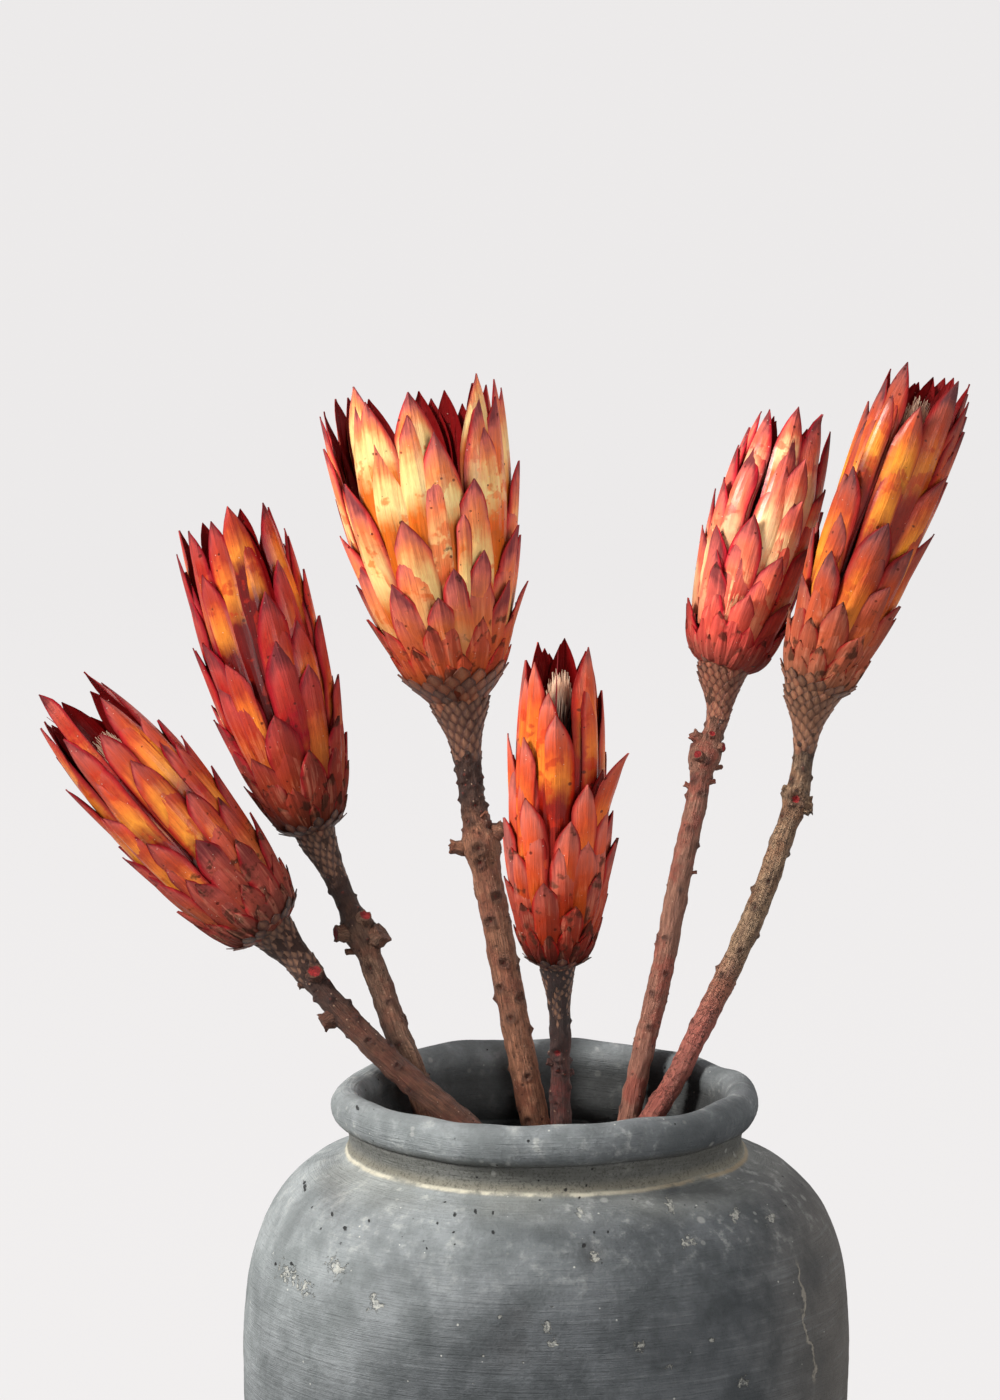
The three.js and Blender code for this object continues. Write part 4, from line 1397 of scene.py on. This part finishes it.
# %% Scars and shoots
# A scar is (distance below the head, angle from the right round the front, width, redness), and a cut
# shoot is (distance, angle, radius, length, redness).
FRONT_SCARS = {
    1: [(46, 80, 1.5, 0), (24, 112, 1.2, 0), (58, 70, 1.3, 0), (66, 120, 1.3, 0)],
    2: [(46, 104, 1.7, 0), (58, 75, 1.2, 0), (72, 100, 1.6, 0), (84, 60, 1.3, 0)],
    3: [(17.6, 90, 1.3, 0), (20.4, 35, 1.3, 0), (14.8, 130, 1.2, 0), (25.6, 116, 1.7, 0.4),
        (25.6, 40, 1.3, 0), (32.2, 78, 1.7, 0.5), (36.9, 130, 1.7, 0), (39.8, 40, 1.8, 0),
        (45.5, 99, 2.3, 0.5), (50, 109, 2.0, 0.6), (61, 69, 2.1, 0.3), (68.3, 112, 2.0, 0.2),
        (81.6, 90, 1.9, 0.2), (89, 124, 1.7, 0), (93.3, 48, 1.8, 0), (99, 103, 1.6, 0),
        (117.3, 80, 1.6, 0), (131, 112, 1.6, 0), (84, 25, 1.4, 0)],
    4: [(26.4, 112, 2.2, 1.0), (31.9, 105, 1.7, 0), (33, 60, 1.4, 0), (42.3, 120, 1.3, 0)],
    5: [(40.6, 83, 1.1, 0), (52, 100, 1.2, 0.4), (64.7, 10, 1.0, 0), (71, 78, 1.0, 0.3),
        (86.4, 109, 1.1, 0.4), (96.8, 76, 1.1, 0.4), (103.6, 118, 1.1, 0.3), (114, 90, 1.1, 0.3)],
    6: [(33.8, 97, 3.2, 1.0), (40.2, 152, 1.6, 0), (60, 92, 1.2, 0), (68.7, 108, 1.4, 0), (83, 88, 1.3, 0),
        (92.3, 116, 1.3, 0)],
}
CUT_SHOOTS = {
    1: [(19.4, 62, 2.3, 1.4, 1.0), (19, 178, 1.0, 1.2, 0), (32.5, 164, 2.5, 2.6, 0.3)],
    2: [(32.9, 150, 2.4, 2.4, 1.0), (38.8, 178, 0.9, 2.2, 0), (31.4, 52, 2.0, 1.8, 1.0),
        (37.6, 16, 3.2, 2.6, 0.2)],
    3: [(44.4, 176, 2.0, 3.6, 0), (41.8, 8, 2.4, 2.6, 0), (36, 60, 0.5, 3.4, 0)],
    4: [(30, 178, 1.0, 1.2, 0), (33, 0, 1.0, 1.0, 0)],
    5: [(24, 168, 1.7, 2.2, 0), (29.2, 117, 1.5, 1.0, 1.0), (21.7, 97, 1.1, 1.4, 1.0),
        (24.2, 35, 1.4, 1.2, 1.0), (30.8, 0, 0.8, 1.5, 0), (38.2, 180, 0.8, 1.5, 0),
        (35.8, 2, 0.8, 1.4, 0), (64.7, 0, 0.5, 1.4, 0)],
    6: [(34.5, 8, 2.4, 1.2, 0), (31, 176, 1.0, 0.8, 0)],
}
SCAR_GAP = {1: 3.6, 2: 3.6, 3: 3.0, 4: 4.0, 5: 4.0, 6: 3.6}
BUMP_GAP = {1: 1.8, 2: 1.3, 3: 0.75, 4: 2.6, 5: 1.8, 6: 1.5}
print("scars set by hand", [len(scars) for scars in FRONT_SCARS.values()])

# %% Stem plans
BUMPS_FROM = 15
BUMPS_TO = 40
MARKS_TO = 0.8
FRONT_SPAN = (20, 160)
MARK_GIRTH = 0.85
OVER_BARK = 0.1


def on_bark(flower, below, degrees):
    """A point on the stem's surface, the direction out of it and the stem's direction."""
    centre, along = stem_centre(flower, below)
    across, out = level_pair(along)
    angle = math.radians(degrees)
    away = across * math.cos(angle) + out * math.sin(angle)
    return centre + away * (stem_radius(flower, below) + OVER_BARK), away, along


def stem_plan(flower):
    """The stem's line, with its radius at each step, and the points of its leaf scars and knobs."""
    number = flower["number"]
    line, run = flower["line"], flower["run"]
    last = len(line) - 1
    rows = []
    for step, place in enumerate(line):
        below = run * (1 - step / last)
        girth = stem_radius(flower, below)
        rows.append(dict(place=place, girth=girth, below=below, role=0, red=0, knob=0))
    marks = list(FRONT_SCARS[number])
    below, item = BUMPS_FROM, 0
    while below < MARKS_TO * run:
        degrees = math.degrees(item * GOLDEN + number) % 360
        bumps = below < BUMPS_TO
        if bumps or not FRONT_SPAN[0] < degrees < FRONT_SPAN[1]:
            width = between(1.0, 1.8, draw(item, "scar width"))
            marks.append((below, degrees, width, 0, bumps or item % 2))
        gap = BUMP_GAP[number] if bumps else SCAR_GAP[number]
        below += gap * between(0.6, 1.3, draw(item, "scar gap"))
        item += 1
    for below, degrees, width, red, *knob in marks:
        place = on_bark(flower, below, degrees)[0]
        girth = MARK_GIRTH * width
        rows.append(dict(place=place, girth=girth, below=below, role=1, red=red, knob=any(knob)))
    return plan_mesh(f"stem_plan_{number}", rows, [(step, step + 1) for step in range(last)])


# %% Cut shoots
SHOOT_SIDES = 14
SHOOT_LEAN = 0.3
SHOOT_ROUGHNESS = 0.3
CUT_FACE = 1 + 5 * SHOOT_SIDES


def cut_shoot(flower, item, below, degrees, radius, length, red):
    """The stump of one side shoot, with its cut face a little hollow."""
    place, away, along = on_bark(flower, below, degrees)
    outline = [(0.0, -2.0), (radius * 1.1, -2.0), (radius * 1.25, -0.2), (radius * 1.02, length * 0.5),
               (radius * 1.12, length * 0.85), (radius * 0.98, length), (radius * 0.7, length - 0.25),
               (radius * 0.35, length - 0.35), (0.0, length - 0.4)]
    stump = turned(f"shoot_{item}", outline, SHOOT_SIDES)
    mesh = stump.data
    turn = (away + along * SHOOT_LEAN).to_track_quat("Z", "Y").to_matrix()
    places = [vertex.co.copy() for vertex in mesh.vertices]
    for vertex, local in zip(mesh.vertices, places):
        rough = 1 + SHOOT_ROUGHNESS * noise.noise(local * 0.9 + Vector((item, below, 0)))
        vertex.co = place + turn @ (local * rough)
    carry(mesh, "scar", [(below + 30, 0, 0)] * len(places))
    carry(mesh, "rod", [local + UP * below for local in places])
    carry(mesh, "cut", [(red if point >= CUT_FACE else 0, 0, 0) for point in range(len(places))])
    mesh.transform(MILLIMETRES)
    return stump


print("shoots cut off", [len(shoots) for shoots in CUT_SHOOTS.values()])


# %% Stems
for flower in FLOWERS:
    number = flower["number"]
    bark = bark_finish(number)
    rod = grow(f"rod_{number}", stem_tree, stem_plan(flower), {"Material": bark}, MILLIMETRES)
    shoots = [cut_shoot(flower, item, *shoot) for item, shoot in enumerate(CUT_SHOOTS[number])]
    for shoot in shoots:
        shoot.data.materials.append(bark)
    stem = one_piece(f"woody_stem_{number}", [rod, *shoots])
    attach(stem, "root")
    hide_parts(f"stem_{number}")

# %% [markdown]
# ## The clay jar
# The jar was thrown and brushed by hand: a foot, a swelling wall, a round shoulder, a hollow neck and a
# rolled lip. The outline is spun, and each point is then nudged by soft noise, so the lip waves a little
# and the wall has shallow dents. The inside follows the outside at one wall's thickness.

# %% Jar outline
JAR_HEIGHT = 200.0
JAR_FLOOR = 12.0
JAR_FOOT = 62.0
# Places on the outline are (radius, height) in millimetres.
JAR_BOTTOM = [(0.0, 0.0), (20.0, 0.0), (45.0, 0.0), (JAR_FOOT - 1.5, 0.0), (JAR_FOOT, 0.8)]
JAR_OUTSIDE = [(66, 8), (77, 32), (87, 66), (91, 102), (90.7, 131), (87.9, 150.5), (81, 165), (71.9, 173.7),
               (61.2, 178.5), (59.4, 181), (59.2, 185), (60.2, 187.4)]
JAR_INSIDE = [(52.5, 181), (60, 172), (73, 161), (79, 148), (81.7, 130), (82, 102), (78, 66), (68, 32),
              (61, 18), (56, JAR_FLOOR)]
JAR_INNER_FLOOR = [(40.0, JAR_FLOOR), (18.0, JAR_FLOOR), (0.0, JAR_FLOOR)]
LIP_RADIUS = 59.0
LIP_HALF_WIDTH = 5.0
LIP_HALF_HEIGHT = 6.3
LIP_STEPS = 22
JAR_STEP = 2.4


def through(points):
    """A smooth flat curve through (radius, height) points at even steps."""
    line = smooth_line([Vector((radius, 0.0, height)) for radius, height in points])[0]
    return [(place.x, place.z) for place in line[::round(JAR_STEP / LINE_STEP)] + line[-1:]]


lip_middle = JAR_HEIGHT - LIP_HALF_HEIGHT
lip = []
for step in range(LIP_STEPS + 1):
    angle = between(-0.46, 1.1, step / LIP_STEPS) * math.pi
    height = lip_middle + LIP_HALF_HEIGHT * math.sin(angle)
    lip.append((LIP_RADIUS + LIP_HALF_WIDTH * math.cos(angle), height))
jar_outline = JAR_BOTTOM + through(JAR_OUTSIDE) + lip + through(lip[-1:] + JAR_INSIDE)[1:] + JAR_INNER_FLOOR
jar_run = [0.0]
for low, high in zip(jar_outline, jar_outline[1:]):
    jar_run.append(jar_run[-1] + math.dist(low, high))
print("jar outline of", len(jar_outline), "points")

# %% Unevenness of the clay
# Unevenness is (waves to a millimetre, height in millimetres, start of its pattern).
UNEVEN = [(0.017, 1.5, (3.1, 7.7, 1.3)), (0.07, 0.45, (0, 0, 0)), (0.35, 0.12, (0, 0, 0))]
# A dent is (angle from the front, height, width, depth) in degrees and millimetres.
DENTS = [(-58, 150, 6, 1.1), (-44, 157, 5, 0.8), (-33, 150, 5, 0.8), (-6, 150, 6, 1.1), (-8, 139, 8, 0.8),
         (9, 165, 4, 0.7), (58, 150, 7, 0.9), (-120, 120, 8, 1.2), (150, 140, 7, 1.0), (95, 90, 9, 1.0)]
DENT_REACH = 2.5
DENT_SHARPNESS = 1.6
FLAT_BELOW = 1.0


def hand_made(place):
    """Moves a point of the jar by the unevenness of clay, and gives it in metres."""
    radius = math.hypot(place.x, place.y)
    if radius < ON_AXIS or place.z < FLAT_BELOW:
        return place * MM
    outward = Vector((place.x / radius, place.y / radius, 0.0))
    shift = outward * sum(high * noise.noise(place * fine + Vector(start)) for fine, high, start in UNEVEN)
    upper = clamped((place.z - 150.0) / 50.0)
    shift.z += upper * (noise.noise(outward * 1.3 + UP * 5) * 2.2 - 1.0)
    thumbed = max(0.0, (place.z - 182.0) / 18.0)
    shift.z += thumbed * 0.9 * noise.noise(outward * 3.4 + UP * 9)
    shift += outward * thumbed * 1.1 * noise.noise(outward * 2.9 + Vector((0, 4, place.z * 0.03)))
    for azimuth, height, width, depth in DENTS:
        centre = round_direction(math.radians(azimuth - 90)) * radius
        away = math.hypot((outward * radius - centre).length, place.z - height) / width
        if away < DENT_REACH and radius > 50:
            shift -= outward * depth * bell(away * DENT_SHARPNESS)
    return (place + shift) * MM


print(len(DENTS), "dents pressed by hand")

# %% Jar body
JAR_SIDES = 240
TURNING_RADIUS = 80

jar = turned("clay_jar", jar_outline, JAR_SIDES, hand_made)
runs = []
for (radius, height), run in zip(jar_outline, jar_run):
    runs += [run] * ring_size(radius, JAR_SIDES)
turning = [(vertex.co * Vector((1, 1, 0))).normalized() * TURNING_RADIUS for vertex in jar.data.vertices]
carry(jar.data, "turning", [(around.x, around.y, run) for around, run in zip(turning, runs)])
print("jar with", len(jar.data.polygons), "faces")

# %% [markdown]
# ## The clay finish
# The clay is slate grey and brushed round and round. Its right and lower parts are painted darker as
# shade away from the light, and the right side is also painted warmer. It has cloudy zones, broken level
# streaks, pin holes, pale chips and soft smudges. A cream line marks the joint of neck and shoulder; it
# is painted tan towards the right as shade. The hollow neck under the lip and the inside of the mouth
# are painted dark as shade. Streaks read the turning, which is the way the brush went. Holes and chips
# that the photograph shows are listed one by one, as seen from the front.

# %% Marks on the clay
# A mark is (across, height, radius) in millimetres.
PITS = [(-63, 169, 0.5), (-59, 167, 0.6), (-52, 170, 0.4), (-27, 174, 0.6), (-21, 175, 0.6), (-16, 175, 0.4),
        (-16, 171, 0.5), (-32, 172, 0.5), (-35, 166, 0.4), (-80, 152, 0.5), (-75, 154, 0.7), (9, 178, 0.6),
        (5, 180, 0.5), (11, 181, 0.5), (13, 171, 0.5), (17, 171, 0.5), (10, 168, 0.7), (-72, 171, 0.7),
        (-56, 197, 0.6), (-64, 177, 0.8)]
CHIPS = [(-76, 151, 2.6), (-71, 149, 2.4), (-61, 157, 2.8), (-50, 150, 2.3), (-0.5, 147, 1.5), (1, 143, 1.6),
         (13, 165, 1.7), (40, 167, 1.8), (35, 175, 1.2), (26, 141, 1.7), (34, 134, 1.1), (47, 140, 0.8),
         (56, 126, 1.6), (-19, 139, 0.7), (-14, 150, 0.7), (9, 175, 1.3), (54, 171, 1.6), (65, 168, 1.3)]
SMUDGES = [(-9, 150, 7), (-11, 141, 12), (78, 151, 9), (-63, 173, 9), (12, 166, 7)]
SCRATCH_TOP = (73.0, 154.0)
SCRATCH_SLANT = 0.14

clay, tree, shader = new_finish("clay")
place = object_place(tree)
side, depth, height = [part * 1000.0 for part in axes(place)]
front_place = joined(side, depth.at_least(0.0), height)
ragged = cloud(place, 480.0, 3.0, 0.7)


def marked(places, raggedness, solid):
    """1 inside any mark of the list and 0 outside, with a ragged rim."""
    whole = None
    for across, level, radius in places:
        ends = (front_place, (across, 0.0, level))
        away = add_node(tree, "ShaderNodeVectorMath", ends, output="Value", operation="DISTANCE")
        share = (away / (radius * 0.85) + (ragged - 0.5) * raggedness).ramp(1.0, solid)
        whole = whole.at_least(share) if whole else share
    return whole


print(len(PITS), "pin holes and", len(CHIPS), "chips set by hand")

# %% Clay tones
turning = carried(tree, "turning")
outer = (side * side + depth * depth).math("SQRT").ramp(56.5, 58.0)
cloudy = cloud(place, 16.0, 4.0, 0.6)
patches = cloud(place, 60.0, 5.0, 0.65)
mottle = cloud(place, 230.0, 4.0, 0.65)
grit = cloud(place, 900.0, 3.0, 0.7)
brushed = streaked(turning, 0.03, 0.03, 0.8)
brushed_fine = streaked(turning, 0.08, 0.08, 2.3)
rolled = height.ramp(186.0, 196.0)
shoulder = height.ramp(150.0, 172.0)
broken = patches.ramp(0.4, 0.6) * (shoulder * -0.7 + 1.0)
# Painted shade: the clay darkens towards the right, away from the light, and towards the bottom, less so on
# the lip. Cloudy noise breaks it into patches of real tone.
painted_shade_and_cloud = side * (rolled * -0.45 + 0.9) - height + (cloudy - 0.5) * 130.0 - rolled * 6.0
# Painted shade on the right side, darker and a little warmer, weaker on the lip.
warm = (side + (patches - 0.5) * 40.0).ramp(50.0, 95.0) * (rolled * -0.8 + 1.0)
# Lit and shaded copies of the clay, each mottled between two greys.
lit_clay = blend(patches.ramp(0.34, 0.66), "#808688", "#9DA3A6")
shaded_clay = blend(patches.ramp(0.34, 0.66), "#414548", "#5C6064")
wall_colour = layered(
    blend(painted_shade_and_cloud.ramp(-250.0, -140.0), lit_clay, shaded_clay),
    (warm * 0.7, "#67615A"),
    (mottle.ramp(0.5, 0.68) * patches.ramp(0.42, 0.6) * shoulder * 0.4, "#BCBEBA"),
    (brushed.ramp(0.5, 1.0) * broken * 0.28, "#8B8F92"),
    (brushed_fine.ramp(0.5, 0.0) * broken * 0.4, "#3A3C3E"),
    (marked(SMUDGES, 0.5, 0.0) * 0.5, "#454648"),
)
print("clay tones in", len(tree.nodes), "nodes")

# %% Neck and seam
SEAM_HEIGHT = 178.6

neck = height.ramp(177.5, 179.5) * height.ramp(190.0, 186.0) * outer
speckled = cloud(place, 1300.0, 2.0, 0.6)
level = height + (patches - 0.5) * 1.8 - SEAM_HEIGHT
halo = level.ramp(-9.0, 0.0) * level.ramp(1.5, 0.0) * cloudy.ramp(0.35, 0.6) * outer
seam = level.absolute().ramp(0.75, 0.1) * patches.ramp(0.34, 0.5) * outer
neck_colour = layered(
    wall_colour,
    # The neck band is painted darker as the shade under the lip, and less dark near its lower edge.
    (neck * 0.75, "#595852"),
    (neck * height.ramp(183.0, 179.0) * 0.55, "#8E8876"),
    (neck * speckled.ramp(0.52, 0.64) * 0.5, "#33322D"),
    (halo * 0.35, "#B4B6B0"),
    # The cream seam is painted tan towards the right as shade.
    (seam * 0.62, blend(side.ramp(5.0, 50.0), "#E0D9C4", "#A99473")),
)
print("seam at", SEAM_HEIGHT, "mm")

# %% Holes, chips, dust and the scratch
holes = (specked(place, 330.0, 0.13, 0.2) * height.ramp(158.0, 170.0)).at_least(marked(PITS, 2.4, 0.5))
rims = specked(place, 250.0, 0.3, 0.12) * height.ramp(158.0, 170.0)
chips = marked(CHIPS, 6.0, 0.4).at_least(cloud(place, 120.0, 4.0, 0.7).ramp(0.7, 0.75))
dust = specked(place, 420.0, 0.14, 0.07)
slant = side + (height - SCRATCH_TOP[1]) * SCRATCH_SLANT - SCRATCH_TOP[0] + (patches - 0.5) * 9.0
scratch = slant.absolute().ramp(0.55, 0.15) * height.ramp(118.0, 122.0) * height.ramp(157.0, 153.0)
scratch = scratch * depth.ramp(0.0, -5.0)
colour = layered(
    neck_colour,
    (rims * 0.3, "#C4C5C0"),
    (chips * grit.ramp(0.3, 0.6) * 0.6, "#C6C5BC"),
    (dust * 0.65, "#D6D6D0"),
    (scratch * 0.6, "#A9A296"),
    (holes * 0.92, "#1F2021"),
    # Painted shade inside the mouth, below the top of the lip.
    (outer.flipped() * height.ramp(199.0, 188.0) * 0.8, "#232322"),
)
uneven = brushed * 0.22 + brushed_fine * 0.16 + grit * 0.4 + mottle * 0.7 + patches * 0.6
feed(shader, {
    "Base Color": shaded(colour, (mottle - 0.5) * 0.42 + (grit - 0.5) * 0.3 + 1.0),
    "Roughness": 0.85,
    "Specular IOR Level": 0.3,
    "Normal": relief(uneven - holes * 1.6 - chips * 0.8 - scratch * 0.5, 0.0008),
})
jar.data.materials.append(clay)
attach(jar, "root")
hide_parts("jar")
